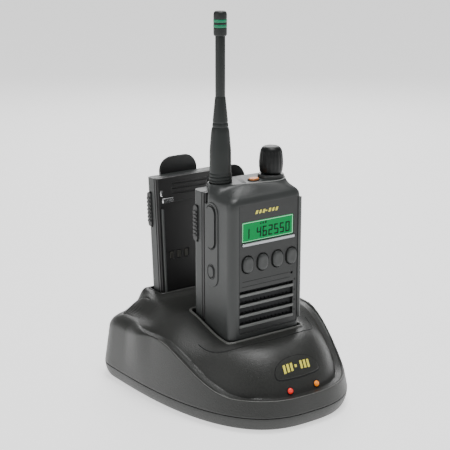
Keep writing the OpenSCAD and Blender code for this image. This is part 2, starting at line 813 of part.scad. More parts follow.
module pack_clip() {
    lever_z = pivot_z + 4.6;
    difference() {
        union() {
            along_x(-5.4, 5.4) translate([pivot_y, pivot_z]) circle(r = 2.4);
            box([-5.4, pivot_y, pivot_z - 5], [5.4, clip_gap_y + clip_t, pivot_z + 1]);
            box([-5.4, pivot_y - 1.2, pivot_z], [5.4, pivot_y + 1, lever_z + 1]);
            along_y(clip_gap_y, clip_gap_y + clip_t)
                round_rect([-11, tongue_z], [11, pivot_z - 1], 5);
            box([-7, clip_gap_y - 2.6, tongue_z + 2], [7, clip_gap_y + 0.1, tongue_z + 4.2]);
            along_y(pivot_y - 1.4, pivot_y + 0.8) intersection() {
                round_rect([-15, lever_z - 12], [15, lever_z + 12.4], 9.5);
                translate([-15, lever_z]) square([30, 13]);
            }
            for (i = [0:3]) box([-9 + i, pivot_y + 0.8, lever_z + 2 + 2.2 * i],
                [9 - i, pivot_y + 1.3, lever_z + 3.1 + 2.2 * i]);
        }
        along_x(-20, 20) translate([pivot_y, pivot_z]) circle(r = pin_r + 0.06);
    }
}

module pack_latch(side) {
    mirror([side < 0 ? 1 : 0, 0, 0]) {
        along_x(half_p - 2.4, half_p + 0.9)
            stadium([latch_y[0], latch_z[0]], [latch_y[1], latch_z[1]]);
        along_x(half_p - 3.2, half_p - 2.4)
            stadium([latch_y[0], latch_z[0] - 1], [latch_y[1], latch_z[1] + 1]);
        for (z = [latch_z[0] + 3.4:2.6:latch_z[1] - 3])
            box([half_p + 0.9, latch_y[0] + 0.5, z], [half_p + 1.6, latch_y[1] - 0.5, z + 1.3]);
    }
}

module battery_case() {
    color("#2a2b2b") radio_pack_frame() pack_case();
}

module battery_cover() {
    color(RADIO_GREY) radio_pack_frame() pack_cover();
}

module battery_cells() {
    color("#3d6f8f") radio_pack_frame() pack_cells();
}

module battery_contacts() {
    color(BRASS) radio_pack_frame() pack_contacts();
}

module clip_pin() {
    color(STEEL) radio_pack_frame() pack_pin();
}

module clip_spring() {
    color(STEEL) radio_pack_frame() pack_spring();
}

module belt_clip() {
    color(DARK) radio_pack_frame() pack_clip();
}

module latch_left() {
    color(RUBBER) radio_pack_frame() pack_latch(-1);
}

module latch_right() {
    color(RUBBER) radio_pack_frame() pack_latch(1);
}

module spare_case() {
    color("#2a2b2b") spare_frame() pack_case();
}

module spare_cover() {
    color(RADIO_GREY) spare_frame() pack_cover();
}

module spare_cells() {
    color("#3d6f8f") spare_frame() pack_cells();
}

module spare_contacts() {
    color(BRASS) spare_frame() pack_contacts();
}

module spare_clip_pin() {
    color(STEEL) spare_frame() pack_pin();
}

module spare_clip_spring() {
    color(STEEL) spare_frame() pack_spring();
}

module spare_belt_clip() {
    color(DARK) spare_frame() pack_clip();
}

module spare_latch_left() {
    color(RUBBER) spare_frame() pack_latch(-1);
}

module spare_latch_right() {
    color(RUBBER) spare_frame() pack_latch(1);
}

charger_base_tray();
charger_top_shell();
charger_feet();
charger_badge();
led_red();
led_amber();
charger_board();
front_pocket_contacts();
rear_pocket_contacts();
dc_socket();
charger_screws();
front_housing();
chassis_frame();
display_window();
display_module();
display_trim();
speaker_frame();
speaker_cone();
speaker_screen();
microphone();
main_board();
rf_shield();
keypad_mat();
volume_control();
knob_collar();
antenna_socket();
side_bezel();
jack_block();
housing_screws();
battery_case();
battery_cover();
battery_cells();
battery_contacts();
clip_pin();
clip_spring();
antenna_boot();
antenna_whip();
antenna_cap();
antenna_bands();
volume_knob();
alert_button();
key_1();
key_2();
key_3();
key_4();
ptt_button();
monitor_button();
jack_cover();
belt_clip();
latch_left();
latch_right();
spare_case();
spare_cover();
spare_cells();
spare_contacts();
spare_clip_pin();
spare_clip_spring();
spare_belt_clip();
spare_latch_left();
spare_latch_right();
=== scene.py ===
# %% [markdown]
# # A two-way radio in its twin charger
# This lesson dresses a packed mechanical model. The model already knows every size, joint and
# body, so nothing here is measured twice: each new surface takes its place from the frame, rides
# on a body of the frame, and stands in for the plain CAD piece that it covers.

# %% Load the frame and remember its box
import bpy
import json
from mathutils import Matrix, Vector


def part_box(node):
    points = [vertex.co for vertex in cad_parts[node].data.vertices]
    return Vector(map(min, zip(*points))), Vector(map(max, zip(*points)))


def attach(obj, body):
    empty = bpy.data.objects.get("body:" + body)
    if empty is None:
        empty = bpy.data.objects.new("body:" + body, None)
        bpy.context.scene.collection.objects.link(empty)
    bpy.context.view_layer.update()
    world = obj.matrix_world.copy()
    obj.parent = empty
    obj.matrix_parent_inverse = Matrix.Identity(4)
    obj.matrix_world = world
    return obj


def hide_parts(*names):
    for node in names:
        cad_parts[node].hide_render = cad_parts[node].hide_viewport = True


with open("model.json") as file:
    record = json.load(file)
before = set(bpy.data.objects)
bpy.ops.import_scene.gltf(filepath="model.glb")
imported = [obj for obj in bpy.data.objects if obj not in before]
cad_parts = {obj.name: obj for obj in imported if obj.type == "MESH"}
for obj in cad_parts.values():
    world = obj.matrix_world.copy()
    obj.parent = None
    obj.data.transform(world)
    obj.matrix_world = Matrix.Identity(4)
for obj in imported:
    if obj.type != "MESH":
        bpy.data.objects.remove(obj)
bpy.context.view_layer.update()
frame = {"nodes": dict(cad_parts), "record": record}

import json
import math
import bmesh
import bpy
import numpy as np

MM = 0.001
LEAN = math.radians(3.5)
SPARE_Y, SPARE_Z = 45.6, 18.4
nodes = frame["nodes"]
slot_of = {s["node"]: s["material_slot"] for s in frame["record"]["subparts"]}
body_of = {n: b for b, ns in frame["record"]["behaviour"]["bodies"].items() for n in ns}


def span(node):
    """The lowest and highest corner of a CAD node, in millimetres."""
    low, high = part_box(node)
    return np.array(low) / MM, np.array(high) / MM


# %% [markdown]
# ## Camera
# The view is taken from a short distance with a moderately long lens, a little to the left of
# the object and slightly above it. The camera is placed by the point it aims at, its azimuth, its
# elevation and its distance.

# %% Camera
AZIMUTH, ELEVATION, DISTANCE = math.radians(-35.29), math.radians(15.9), 0.800
aim = np.array([-0.0191, -0.0144, 0.1186])
away = np.array([math.sin(AZIMUTH) * math.cos(ELEVATION),
                 -math.cos(AZIMUTH) * math.cos(ELEVATION), math.sin(ELEVATION)])
lens = bpy.data.cameras.new("camera")
lens.lens, lens.sensor_width, lens.clip_start = 99.85, 36.0, 0.01
camera = bpy.data.objects.new("camera", lens)
camera.location = aim + DISTANCE * away
camera.rotation_euler = (math.pi / 2 - ELEVATION, 0, AZIMUTH)
bpy.context.collection.objects.link(camera)
bpy.context.scene.camera = camera
print("camera at", [round(v, 3) for v in camera.location])

# %% [markdown]
# ## Shader maths as Python
# A material is a small formula. Wrapping a socket in a class with operators lets the formula be
# written as one: `mask * 0.2 + 0.5` adds the Math nodes by itself. Every other node comes from
# one method, which sets the node's own settings first and its inputs afterwards.


# %% Socket wrapper and material builder
class Wave:
    """A varying number in a material: adding, multiplying or subtracting makes Math nodes."""

    def __init__(self, material, socket):
        self.material, self.socket = material, socket

    def _math(self, operation, a, b):
        return self.material.node("ShaderNodeMath", {"operation": operation}, {0: a, 1: b})

    def __add__(self, other):
        return self._math("ADD", self, other)

    def __mul__(self, other):
        return self._math("MULTIPLY", self, other)

    def __sub__(self, other):
        return self._math("SUBTRACT", self, other)

    def __rsub__(self, other):
        return self._math("SUBTRACT", other, self)

    __radd__, __rmul__ = __add__, __mul__


class Finish:
    """One procedural material round a Principled shader."""

    def __init__(self, name, **sockets):
        self.data = bpy.data.materials.new(name)
        self.data.use_nodes = True
        self.tree = self.data.node_tree
        self.shader = self.tree.nodes["Principled BSDF"]
        self.place = self.node("ShaderNodeTexCoord", {}, {}, "Object")
        for socket, value in sockets.items():
            self.set(socket.replace("_", " "), value)

    def node(self, kind, settings, inputs, output=0):
        """Adds a node: settings first (a ramp's stops included), then the values or links."""
        made = self.tree.nodes.new(kind)
        for key, value in settings.items():
            if key == "stops":
                ramp = made.color_ramp.elements
                while len(ramp) < len(value):
                    ramp.new(0.5)
                for element, (at, colour) in zip(ramp, value):
                    element.position, element.color = at, (*colour, 1)
            else:
                setattr(made, key, value)
        for key, value in inputs.items():
            self._feed(made.inputs[key], value)
        return Wave(self, made.outputs[output])

    def _feed(self, socket, value):
        if isinstance(value, Wave):
            self.tree.links.new(value.socket, socket)
        elif isinstance(value, (tuple, list)) and len(value) == 3 and socket.type == "RGBA":
            socket.default_value = (*value, 1)
        else:
            socket.default_value = value

    def set(self, socket, value):
        self._feed(self.shader.inputs[socket], value)
        return self

    def noise(self, per_mm, detail=2.0, rough=0.5):
        """Noise with about `per_mm` lumps to the millimetre."""
        return self.node("ShaderNodeTexNoise", {}, {
            "Vector": self.place, "Scale": per_mm / MM, "Detail": detail, "Roughness": rough})

    def mix(self, factor, a, b):
        """Colour a where factor is 0, colour b where it is 1."""
        return self.node("ShaderNodeMix", {"data_type": "RGBA"}, {0: factor, 6: a, 7: b}, 2)

    def bump(self, height, depth_mm):
        """Feeds a Bump node, which feeds Normal: full strength over a true depth."""
        self.set("Normal", self.node("ShaderNodeBump", {}, {
            "Height": height, "Distance": depth_mm * MM, "Strength": 1.0}))
        return self


print("shader helpers ready")

# %% [markdown]
# ## Finishes
# Nearly everything here is injection-moulded plastic. What tells one plastic from another is the
# texture cut into its mould: a coarse spark-eroded grain on the charger, a finer one on the
# radio, and a satin skin on rubber. Each recipe below is one function: a grain for the bump, and
# a slow drift for colour and gloss, as handled plastic has.


# %% Plastic, rubber and metal recipes
def plastic(name, colour, grain_per_mm, grain_mm, rough, drift=0.12, sheen=0.5):
    """Moulded plastic: sharp grain in the bump, slow drift in colour and roughness."""
    f = Finish(name, Specular_IOR_Level=sheen)
    slow = f.noise(0.035, 3)
    grain = f.noise(grain_per_mm, 3, 0.6)
    speck = f.noise(grain_per_mm * 0.45, 2)
    light = tuple(c * (1 + drift) for c in colour)
    dark = tuple(c * (1 - drift) for c in colour)
    f.set("Base Color", f.mix(slow * 0.6 + speck * 0.4, dark, light))
    f.set("Roughness", slow * 0.12 + grain * 0.10 + (rough - 0.11))
    return f.bump(grain * 0.7 + speck * 0.3, grain_mm).data


def metal(name, colour, rough, streak=(1, 1, 1)):
    """Plated or anodised metal with streaks along its narrow scale axis."""
    f = Finish(name, Metallic=1.0)
    where = f.node("ShaderNodeMapping", {}, {"Vector": f.place, "Scale": streak})
    lines = f.node("ShaderNodeTexNoise", {}, {"Vector": where, "Scale": 900.0, "Detail": 3.0})
    f.set("Base Color", f.mix(lines, tuple(c * 0.82 for c in colour), colour))
    f.set("Roughness", lines * 0.18 + (rough - 0.09))
    return f.bump(lines, 0.02).data


def moulded_case(name, colour):
    """The radio's plastic: grained on its outside, smoother on the sunk front panel and darkened
    there as painted shade of the front face; the panel is told apart by its place (a soft-edged
    box in Object coordinates)."""
    f = Finish(name, Specular_IOR_Level=0.5)
    axes = [f.node("ShaderNodeSeparateXYZ", {}, {"Vector": f.place}, k) for k in range(3)]
    inside = None
    for axis, low, high in ((axes[0], -22.1, 25.6), (axes[1], -33.9, -32.0), (axes[2], 50, 135.4)):
        for edge, sign in ((low, 1), (high, -1)):
            step = f.node("ShaderNodeClamp", {}, {"Value": (axis - edge * MM) * (sign * 8 / MM)})
            inside = step if inside is None else inside * step
    slow = f.noise(0.035, 3)
    grain = f.noise(3.4, 3, 0.6)
    speck = f.noise(1.6, 2)
    outer = f.mix(slow * 0.6 + speck * 0.4, tuple(c * 0.86 for c in colour),
                  tuple(c * 1.16 for c in colour))
    # The sunk panel's colour is dimmed to 0.62 of the case's: painted shade of the front face.
    f.set("Base Color", f.mix(inside, outer, tuple(c * 0.62 for c in colour)))
    f.set("Roughness", slow * 0.12 + grain * 0.1 + inside * 0.06 + 0.32)
    return f.bump((grain * 0.7 + speck * 0.3) * (1 - inside * 0.6), 0.06).data


def glowing(name, colour, glow, strength, rough=0.25, coat=0.6, shine=0.5):
    """A lit lens: its colour drifts a little, and it gives light of its own."""
    f = Finish(name, Coat_Weight=coat, Coat_Roughness=0.05, Emission_Strength=strength,
               Specular_IOR_Level=shine)
    cloud = f.noise(0.5, 2)
    f.set("Base Color", f.mix(cloud, colour, tuple(min(1, c * 1.2) for c in colour)))
    f.set("Emission Color", f.mix(cloud, glow, tuple(min(1, c * 1.15) for c in glow)))
    f.set("Roughness", cloud * 0.1 + rough)
    return f.data


FINISH = {
    "charger_plastic": plastic("charger_plastic", (0.022, 0.023, 0.021), 1.5, 0.26, 0.40, 0.2),
    "rubber_feet": plastic("rubber_feet", (0.025, 0.025, 0.025), 3, 0.04, 0.75),
    "red_lens": glowing("red_lens", (0.75, 0.03, 0.02), (1.0, 0.02, 0.012), 0.50, 0.2, 0.3),
    "amber_lens": glowing("amber_lens", (0.85, 0.25, 0.01), (1.0, 0.22, 0.0), 0.50, 0.2, 0.3),
    "circuit_board": plastic("circuit_board", (0.03, 0.16, 0.07), 1.5, 0.02, 0.4),
    "gold_contact": metal("gold_contact", (0.80, 0.58, 0.22), 0.25),
    "black_insulator": plastic("black_insulator", (0.018, 0.018, 0.018), 4, 0.02, 0.5),
    "steel_hardware": metal("steel_hardware", (0.60, 0.61, 0.62), 0.30),
    "radio_plastic": moulded_case("radio_plastic", (0.029, 0.032, 0.031)),
    "pack_inner": plastic("pack_inner", (0.016, 0.016, 0.016), 4, 0.02, 0.42),
    "cast_chassis": metal("cast_chassis", (0.40, 0.41, 0.42), 0.5),
    "clear_window": glowing("clear_window", (0.0, 0.10, 0.03), (0.0, 0.30, 0.07), 0.60, 0.4, 0.0,
                            0.08),
    "lcd": plastic("lcd", (0.0, 0.25, 0.07), 3, 0.01, 0.4),
    "silver_trim": metal("silver_trim", (0.42, 0.43, 0.45), 0.34, (0.05, 1, 1)),
    "cone_paper": plastic("cone_paper", (0.02, 0.018, 0.016), 2, 0.05, 0.8),
    "screen_metal": plastic("screen_metal", (0.007, 0.008, 0.009), 3, 0.02, 0.55, 0.12, 0.25),
    "soft_rubber": plastic("soft_rubber", (0.033, 0.036, 0.035), 4, 0.03, 0.44),
    "collar_metal": plastic("collar_metal", (0.045, 0.047, 0.046), 4, 0.02, 0.34),
    "brass_bushing": metal("brass_bushing", (0.75, 0.55, 0.24), 0.3),
    "antenna_rubber": plastic("antenna_rubber", (0.016, 0.019, 0.018), 5, 0.02, 0.46, 0.12, 0.35),
    "green_band": plastic("green_band", (0.0, 0.20, 0.09), 4, 0.01, 0.3),
    "knob_plastic": plastic("knob_plastic", (0.007, 0.008, 0.008), 4, 0.02, 0.40, 0.12, 0.3),
    "orange_button": plastic("orange_button", (0.85, 0.30, 0.09), 4, 0.02, 0.4, 0.06),
    "clip_plastic": plastic("clip_plastic", (0.020, 0.021, 0.021), 3, 0.04, 0.42),
    "latch_plastic": plastic("latch_plastic", (0.030, 0.031, 0.031), 3, 0.04, 0.48),
    "cell_wrap": plastic("cell_wrap", (0.05, 0.16, 0.28), 2, 0.01, 0.25),
}
MARK = plastic("mark_ink", (0.86, 0.78, 0.10), 5, 0.01, 0.5, 0.08)
LCD_INK = plastic("lcd_ink", (0.001, 0.012, 0.006), 5, 0.005, 0.5, 0.1, 0.2)
LCD_EDGE_HIGHLIGHT = glowing("lcd_edge_painted_highlight", (0.20, 0.62, 0.34), (0.22, 0.62, 0.36), 0.7, 0.4, 0.0)
# Dark tone for seams between parts, and also painted shade in the roof's crease and the panel's left
# groove.
DARK_SEAM_AND_SHADE = plastic("dark_seam_and_painted_shade", (0.008, 0.009, 0.009), 4, 0.02, 0.6, 0.1, 0.3)
for name, node in nodes.items():
    node.data.materials.clear()
    node.data.materials.append(FINISH[slot_of[name]])
print("finishes:", len(bpy.data.materials))

# %% [markdown]
# ## From arrays to pieces
# Each new surface is a grid of points worked out with numpy. `sheet_mesh` turns a grid into
# quads, closes it round where it should meet itself, and can cap its ends. `piece` makes the
# object, gives it its finish and puts it on its body.


# %% Mesh and piece helpers
def sheet_mesh(points, wrap=True, cap_start=False, cap_end=False):
    """Quads over a grid of rows and columns: columns close into a loop if wrap is true, and a
    cap is one flat face across the first or last row. Returns points and faces."""
    rows, cols, _ = points.shape
    i = np.arange(rows - 1)[:, None]
    j = np.arange(cols if wrap else cols - 1)[None, :]
    k = (j + 1) % cols
    faces = np.stack([i * cols + j, i * cols + k, (i + 1) * cols + k, (i + 1) * cols + j], -1)
    faces = faces.reshape(-1, 4).tolist()
    if cap_start:
        faces.append(list(range(cols))[::-1])
    if cap_end:
        faces.append([(rows - 1) * cols + c for c in range(cols)])
    return points.reshape(-1, 3), faces


def joined(parts):
    """Several (points, faces) pairs as one."""
    points, faces, start = [], [], 0
    for p, f in parts:
        points.append(p)
        faces += [[v + start for v in face] for face in f]
        start += len(p)
    return np.concatenate(points), faces


def closed_mesh(name, mesh_parts, weld=False):
    """A mesh from points in millimetres, its faces turned outwards, its doubles merged first when
    weld is true.
    """
    points, faces = mesh_parts
    mesh = bpy.data.meshes.new(name)
    mesh.from_pydata((points * MM).tolist(), [], faces)
    bm = bmesh.new()
    bm.from_mesh(mesh)
    if weld:
        bmesh.ops.remove_doubles(bm, verts=bm.verts, dist=1e-6)
    bmesh.ops.recalc_face_normals(bm, faces=bm.faces)
    bm.to_mesh(mesh)
    bm.free()
    return mesh


def piece(name, mesh_parts, body, finish, covers=(), sharp=35):
    """Makes an object at the origin from points in millimetres and lets it ride on a body."""
    obj = bpy.data.objects.new(name, closed_mesh(name, mesh_parts, weld=True))
    return dress(obj, body, finish, covers, sharp)


def dress(obj, body, finish, covers, sharp):
    """Gives an object its material and shading, its body and the nodes it replaces."""
    mesh = obj.data
    mesh.materials.clear()
    mesh.materials.append(finish)
    mesh.shade_smooth()
    mesh.set_sharp_from_angle(angle=math.radians(sharp))
    if not obj.users_collection:
        bpy.context.collection.objects.link(obj)
    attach(obj, body)
    if covers:
        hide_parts(*covers)
    return obj


EASED_ANGLE = 30


def eased(node, width=0.3, segments=2, top=None):
    """A copy of a CAD node whose hard edges are rounded, as every moulded edge is: its loose
    triangles are merged, flat areas joined into single faces, and a Bevel modifier added. With a
    top, what lies above that height is taken off for another piece to stand in."""
    source = nodes[node]
    mesh = source.data.copy()
    mesh.transform(source.matrix_world)
    bm = bmesh.new()
    bm.from_mesh(mesh)
    bmesh.ops.remove_doubles(bm, verts=bm.verts, dist=2e-6)
    bmesh.ops.dissolve_limit(bm, angle_limit=math.radians(0.6), verts=bm.verts, edges=bm.edges)
    if top is not None:
        everything = bm.verts[:] + bm.edges[:] + bm.faces[:]
        bmesh.ops.bisect_plane(bm, geom=everything, dist=1e-7, plane_co=(0, 0, top * MM),
                               plane_no=(0, 0, 1), clear_outer=True)
        rim = [edge for edge in bm.edges if edge.is_boundary]
        bmesh.ops.triangle_fill(bm, edges=rim, use_beauty=True)
    bm.to_mesh(mesh)
    bm.free()
    obj = bpy.data.objects.new(node + "_eased", mesh)
    slot = slot_of[node]
    dress(obj, body_of[node], FINISH[slot], (node,), EASED_ANGLE)
    bevel = obj.modifiers.new("edge", "BEVEL")
    bevel.width, bevel.segments = width * MM, segments
    bevel.limit_method, bevel.angle_limit = "ANGLE", math.radians(EASED_ANGLE)
    bevel.use_clamp_overlap = True
    obj.modifiers.new("normals", "WEIGHTED_NORMAL").keep_sharp = True


def ease(a, b, v):
    """0 below a, 1 above b, and the smooth cubic 3t^2 - 2t^3 between."""
    t = np.clip((v - a) / (b - a), 0, 1)
    return t * t * (3 - 2 * t)


def bell(v, at, width):
    """A smooth bump of height 1 at `at`."""
    return np.exp(-(((v - at) / width) ** 2))


print("mesh helpers ready")

# %% [markdown]
# ## The charger's shell
# The shell is one moulding: in plan a superellipse that is widest behind its middle, with a
# drafted wall, a raised rim along its shoulder, and a domed hump that carries the two pockets.
# Sculpting it would lose its clean lines, so its height is a formula of the plan position. The
# same plan curve at other insets gives the base tray and the dark parting line between them.

# %% Plan curve and roof formula
low, high = span("charger_top_shell")
tray_low, tray_high = span("charger_base_tray")
HALF_W = high[0]
NOSE, TAIL = -low[1], high[1]
WIDE_Y = 52.7
SHELL_Z = low[2]
RIDGE_LOW, RIDGE_HIGH = 20.5, 46.0
HUMP_LOW, HUMP_HIGH = 46.0, 55.5
LEDGE, LEDGE_DROP, DOME_RUN = 6.0, 1.0, 24.0
RIM_INSET = 3.0
HUB = np.array([0.0, 14.0])
AROUND = 480


def plan(angle, inset):
    """Superellipse: x and y are cosine and sine raised to 2/n, with n = 2.7 in front of the
    widest line and 2.76 behind it, and the half axes shortened by the inset."""
    front = np.sin(angle) < 0
    power = np.where(front, 2 / 2.7, 2 / 2.76)
    reach = np.where(front, NOSE + WIDE_Y, TAIL - WIDE_Y) - inset
    x = (HALF_W - inset) * np.sign(np.cos(angle)) * np.abs(np.cos(angle)) ** power
    y = WIDE_Y + reach * np.sign(np.sin(angle)) * np.abs(np.sin(angle)) ** power
    return x, y


def even_angles(count):
    """Angles that space the plan curve's points evenly along its length."""
    fine = np.linspace(0, 2 * np.pi, 20001)
    x, y = plan(fine, 0)
    length = np.concatenate([[0], np.cumsum(np.hypot(np.diff(x), np.diff(y)))])
    return np.interp(np.linspace(0, length[-1], count, endpoint=False), length, fine)


def ridge_height(y):
    """Height of the shoulder: low at the nose, high beside the pockets, easing at the tail."""
    return RIDGE_LOW + (RIDGE_HIGH - RIDGE_LOW) * ease(-64, 2, y) - 4 * ease(45, 78, y)


def slot_distance(x, y):
    """Distance from a point to the rear pocket's rectangle, seen from above."""
    return np.hypot(np.maximum(np.abs(x) - 30, 0), np.maximum(np.abs(y - 54) - 9.5, 0))


def roof(x, y, d):
    """Height of the roof at a plan point that lies d inside the shoulder: a lower ledge behind
    the rim, then a dome (1 - (1 - t)^2)^(1/1.15) up to the hump, with a collar round the rear
    pocket and low vent ribs on the left deck."""
    front = 1 - ease(8, 30, y)
    run = DOME_RUN + 4 * front - 8 * ease(30, 70, y)
    base = ridge_height(y) - LEDGE_DROP * front * ease(0.2, 1.5, d)
    hump = HUMP_LOW + (HUMP_HIGH - HUMP_LOW) * ease(-30, 14, y)
    t = np.clip((d - LEDGE * front) / run, 0, 1)
    rise = (1 - (1 - t) ** 2) ** (1 / 1.15)
    aside = 1 - 0.9 * ease(38, 58, np.abs(x)) * ease(10, 40, y)
    behind = 1 - ease(60, 71, y)
    z = base + (hump - base) * rise * aside * behind
    collar = 1 - ease(1.5, 11, slot_distance(x, y))
    z = z + (HUMP_HIGH + 1.2 - z) * collar * ease(34, 46, y)
    z = z - 1.2 * bell(d, 9, 5) * ease(8, 26, y) * (1 - collar)
    vents = ease(45, 46, -x) * (1 - ease(53, 54, -x)) * ease(44, 46, y) * (1 - ease(58, 60, y))
    z = z + 0.35 * vents * (0.5 + 0.5 * np.cos(2 * np.pi * y / 3.2))
    return z - 0.6 * bell(slot_distance(x, y), 9.5, 0.5) * ease(44, 50, y)


# %% [markdown]
# The shell's grid runs from its lower lip up the wall, over the shoulder and inwards to a hub.
# The shoulder is a quarter turn: tight at the nose, where it stands up as a bright rim, and wide
# at the back. Two closed prisms then cut the pockets, whose walls are left as the well linings.


# %% Shell
def shell_grid():
    """Rows of the grid as (inset, height) rules. Wall: inset grows in proportion to height.
    Shoulder: a quarter ellipse. Roof: straight rays from the shoulder to the hub."""
    a = even_angles(AROUND)
    x0, y0 = plan(a, 0)
    top = ridge_height(y0)
    turn = 0.75 + 8.5 * ease(4, 40, y0)
    lean = RIM_INSET - turn * (1 - ease(4, 40, y0)) + 0.6 * ease(4, 40, y0)
    rows = [(1.6 + 0 * a, SHELL_Z + 0 * a), (0.5 + 0 * a, SHELL_Z + 0 * a)]
    for t in np.linspace(0, 1, 22):
        z = SHELL_Z + 0.35 + (top - turn - SHELL_Z - 0.35) * t
        rows.append((0.35 + (lean - 0.35) * t, z))
    wall_in = rows[-1][0]
    for t in np.linspace(0, np.pi / 2, 10)[1:]:
        rows.append((wall_in + turn * (1 - np.cos(t)), top - turn + turn * np.sin(t)))
    grid = [np.stack([*plan(a, inset), z], -1) for inset, z in rows]
    rim = grid[-1][:, :2]
    reach = np.linalg.norm(HUB - rim, axis=1)
    fine = np.concatenate([np.linspace(0, 0.1, 13)[1:], np.linspace(0.1, 0.97, 92)[1:]])
    for u in fine:
        p = rim + u * (HUB - rim)
        grid.append(np.stack([p[:, 0], p[:, 1], roof(p[:, 0], p[:, 1], u * reach)], -1))
    return np.array(grid)


def rounded_outline(x0, x1, y0, y1, r, per_corner=10):
    """Counter-clockwise rectangle with round corners: four quarter circles in turn."""
    t = np.linspace(0, np.pi / 2, per_corner)
    corners = [(x1 - r, y1 - r, 0), (x0 + r, y1 - r, 1), (x0 + r, y0 + r, 2), (x1 - r, y0 + r, 3)]
    return np.concatenate([np.stack([cx + r * np.cos(t + k * np.pi / 2),
                                     cy + r * np.sin(t + k * np.pi / 2)], -1)
                           for cx, cy, k in corners])


def prism(outline, z0, z1):
    """Closed straight prism over an outline."""
    z = np.ones(len(outline))
    rings = np.array([np.column_stack([outline, z * z0]), np.column_stack([outline, z * z1])])
    return sheet_mesh(rings, cap_start=True, cap_end=True)


def leaned(points):
    """Turns points from the spare pack's own frame into place: a lean back about X and a shift."""
    c, s = math.cos(LEAN), math.sin(LEAN)
    x, y, z = points[..., 0], points[..., 1], points[..., 2]
    return np.stack([x, SPARE_Y + c * y + s * z, SPARE_Z - s * y + c * z], -1)


def cut(obj, tool_mesh, name):
    """Takes a closed tool out of an object with a Boolean modifier and applies it."""
    tool = bpy.data.objects.new(name, closed_mesh(name, tool_mesh))
    bpy.context.collection.objects.link(tool)
    step = obj.modifiers.new(name, "BOOLEAN")
    step.operation, step.object, step.solver = "DIFFERENCE", tool, "EXACT"
    graph = bpy.context.evaluated_depsgraph_get()
    result = bpy.data.meshes.new_from_object(obj.evaluated_get(graph))
    obj.modifiers.clear()
    obj.data = result
    bpy.data.objects.remove(tool)


FRONT_WELL_Z = 20.4
FRONT_POCKET = rounded_outline(-30, 30, -35.4, 12.3, 4)
REAR_POCKET = rounded_outline(-29.3, 29.3, -1.2, 15.0, 2)
shell_form = sheet_mesh(shell_grid(), cap_start=True, cap_end=True)
shell = bpy.data.objects.new("charger_shell", closed_mesh("charger_shell", shell_form))
bpy.context.collection.objects.link(shell)
cut(shell, prism(FRONT_POCKET, FRONT_WELL_Z, 90), "front_well")
rear_points, rear_faces = prism(REAR_POCKET, -0.3, 70)
cut(shell, (leaned(rear_points), rear_faces), "rear_well")
dress(shell, "charger", FINISH["charger_plastic"], ("charger_top_shell",), 38)
print("shell:", len(shell.data.polygons), "faces")


# %% [markdown]
# ## Rims, tray and feet
# Where the pocket breaks through the hump the moulding has a narrow raised lip. It is a round
# bead carried along the line where the pocket's outline meets the roof. The tray below is the
# same plan curve once more, with a rounded lower edge and a tongue that closes the parting line.


# %% Pocket lips
def shoulder_distance(x, y):
    """How far a plan point lies inside the shoulder, along its ray from the hub."""
    a = even_angles(AROUND)
    rim = np.stack(plan(a, RIM_INSET), -1)
    away_rim, away_point = rim - HUB, np.stack([x, y], -1) - HUB
    order = np.argsort(np.arctan2(away_rim[:, 1], away_rim[:, 0]))
    angle = np.arctan2(away_rim[:, 1], away_rim[:, 0])[order]
    radius = np.linalg.norm(away_rim, axis=1)[order]
    here = np.arctan2(away_point[..., 1], away_point[..., 0])
    return np.interp(here, angle, radius, period=2 * np.pi) - np.linalg.norm(away_point, axis=-1)


def roof_at(x, y):
    """Roof height at a plan point, its distance from the shoulder worked out from the rays."""
    return roof(x, y, shoulder_distance(x, y))


def bead(path, radius, sides=10, closed=True):
    """Round bead along a path: circles square to the path's direction, in an upright frame."""
    ahead = np.roll(path, -1, 0) - np.roll(path, 1, 0) if closed else np.gradient(path, axis=0)
    ahead = ahead / np.linalg.norm(ahead, axis=1)[:, None]
    side = np.cross(ahead, [0, 0, 1.0])
    side = side / np.linalg.norm(side, axis=1)[:, None]
    up = np.cross(side, ahead)
    t = np.linspace(0, 2 * np.pi, sides, endpoint=False)
    across, upward = np.cos(t)[None, :, None], np.sin(t)[None, :, None]
    grid = path[:, None] + radius * (across * side[:, None] + upward * up[:, None])
    if closed:
        grid = np.concatenate([grid, grid[:1]])
    return sheet_mesh(grid, cap_start=not closed, cap_end=not closed)


def denser(outline, step=0.8):
    """Points every `step` along a closed outline."""
    loop = np.concatenate([outline, outline[:1]])
    length = np.concatenate([[0], np.cumsum(np.linalg.norm(np.diff(loop, axis=0), axis=1))])
    at = np.arange(0, length[-1], step)
    return np.stack([np.interp(at, length, loop[:, k]) for k in range(2)], -1)


# A lighter tone for the front pocket's lip and the rim round the nose: a painted highlight.
RIM_HIGHLIGHT = plastic("rim_painted_highlight", (0.11, 0.112, 0.105), 1.5, 0.2, 0.36)
front_rim = denser(rounded_outline(-30.2, 30.2, -35.6, 12.5, 4.2))
rim_z = roof_at(front_rim[:, 0], front_rim[:, 1])
piece("front_pocket_lip", bead(np.column_stack([front_rim, rim_z + 0.1]), 0.9), "charger",
      RIM_HIGHLIGHT)
rear_rim = denser(rounded_outline(-29.5, 29.5, 46.6, 63.4, 2.2))
rim_z = roof_at(rear_rim[:, 0], rear_rim[:, 1])
piece("rear_pocket_lip", bead(np.column_stack([rear_rim, rim_z - 0.2]), 0.7), "charger",
      FINISH["charger_plastic"])
print("pocket lips:", len(front_rim), "and", len(rear_rim), "points")
